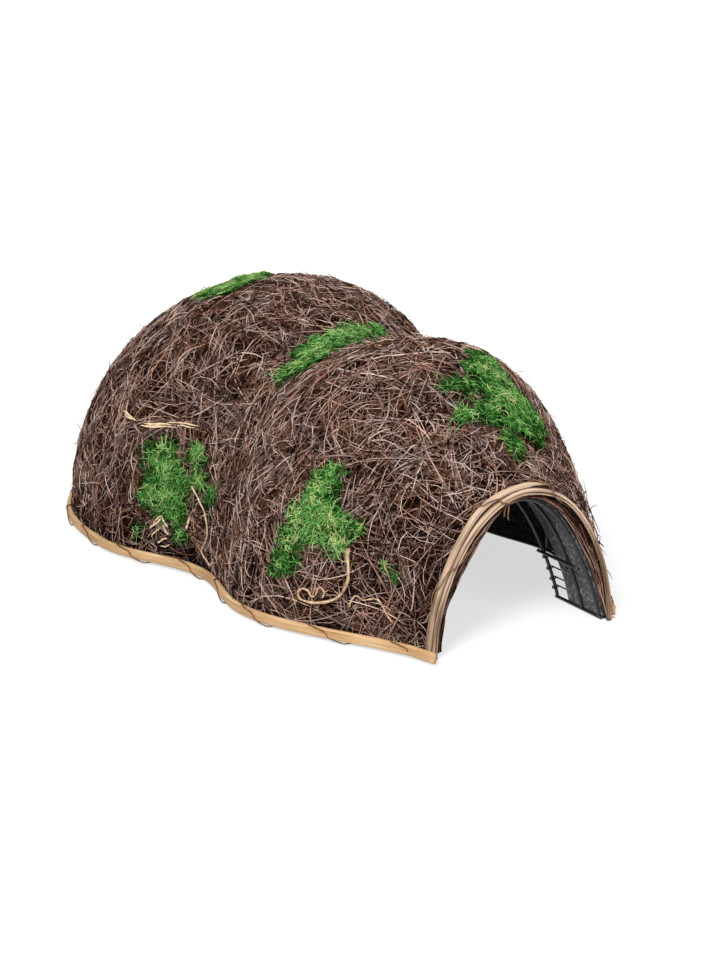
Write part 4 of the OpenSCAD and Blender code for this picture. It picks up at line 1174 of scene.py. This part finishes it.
# Studio: pale floor that is white to the camera and keeps a soft shadow, and large soft lamps
def makeFloor():
    # near the house the floor is half lit paper and half its own glow, so that the shadow stays soft; the
    # glow rises to full white further out
    white, paper, half, below = (1, 1, 1, 1), (0.34, 0.34, 0.34, 1), 30, -0.0006
    finish, tree, shader = newFinish("paperSweep", 0.9, **{"Base Color": paper, "Emission Color": white})
    far = addNode(tree, "VectorMath", {0: objectPlace(tree)}, operation="LENGTH").outputs["Value"]
    glow = mapRange(tree, far, 0.35, 1.3, 0.66, 1.0, interpolation_type="SMOOTHSTEP")
    rays = addNode(tree, "LightPath").outputs
    seen = mathOf(tree, "MAXIMUM", rays["Is Camera Ray"], rays["Is Glossy Ray"])
    seen = mathOf(tree, "MAXIMUM", seen, rays["Is Transmission Ray"])
    tree.links.new(mathOf(tree, "MULTIPLY", seen, glow), shader.inputs["Emission Strength"])
    mesh = bpy.data.meshes.new("floor")
    corners = [(-half, -half, below), (half, -half, below), (half, half, below), (-half, half, below)]
    mesh.from_pydata(corners, [], [(0, 1, 2, 3)])
    floor = bpy.data.objects.new("floor", mesh)
    bpy.context.scene.collection.objects.link(floor)
    mesh.materials.append(finish)


makeFloor()

world = bpy.data.worlds.new("studio")
bpy.context.scene.world = world
world.use_nodes = True
background = world.node_tree.nodes["Background"]
background.inputs["Color"].default_value = (1, 1, 1, 1)
cameraRay = addNode(world.node_tree, "LightPath").outputs["Is Camera Ray"]
strength = mapRange(world.node_tree, cameraRay, 0, 1, 0.26, 1.0)
world.node_tree.links.new(strength, background.inputs["Strength"])

lamps = [  # name, place in metres, size in metres, power in watts
    ("keyLamp", (-1.6, -1.4, 1.9), 0.9, 82),
    ("fillLamp", (0.5, -2.3, 1.0), 1.4, 26),
    ("topLamp", (0.3, 0.8, 2.3), 1.4, 9),
    ("backLamp", (1.5, 2.0, 1.2), 1.8, 14),
]
lampAim = np.array([0, 0, 0.08])
for name, place, size, watts in lamps:
    data = bpy.data.lights.new(name, "AREA")
    data.size = size
    data.energy = watts
    lamp = bpy.data.objects.new(name, data)
    lamp.location = place
    aim = lampAim - np.array(place)
    lamp.rotation_euler = (math.atan2(math.hypot(aim[0], aim[1]), -aim[2]), 0, math.atan2(-aim[0], aim[1]))
    bpy.context.scene.collection.objects.link(lamp)

# Camera matched to the photograph: it looks down and to the right at the near side of the entrance
shot = dict(azimuth=-30.9, elevation=15.9, distance=1.914, target=(0.0, 0.268 + entranceY * mm, 0.0861),
            lens=83.5, shiftX=0.0214, shiftY=-0.0325)


def makeCamera():
    # the camera stands back from its target along the azimuth and elevation
    az, el = math.radians(shot["azimuth"]), math.radians(shot["elevation"])
    back = np.array([math.sin(az) * math.cos(el), -math.cos(az) * math.cos(el), math.sin(el)])
    data = bpy.data.cameras.new("camera")
    data.lens, data.sensor_width = shot["lens"], 36.0
    data.shift_x, data.shift_y = shot["shiftX"], shot["shiftY"]
    data.clip_start, data.clip_end = 0.05, 100
    camera = bpy.data.objects.new("camera", data)
    camera.location = np.array(shot["target"]) + back * shot["distance"]
    camera.rotation_euler = (math.pi / 2 - el, 0, az)
    bpy.context.scene.collection.objects.link(camera)
    bpy.context.scene.camera = camera


makeCamera()
bpy.context.scene.view_settings.view_transform = "Standard"
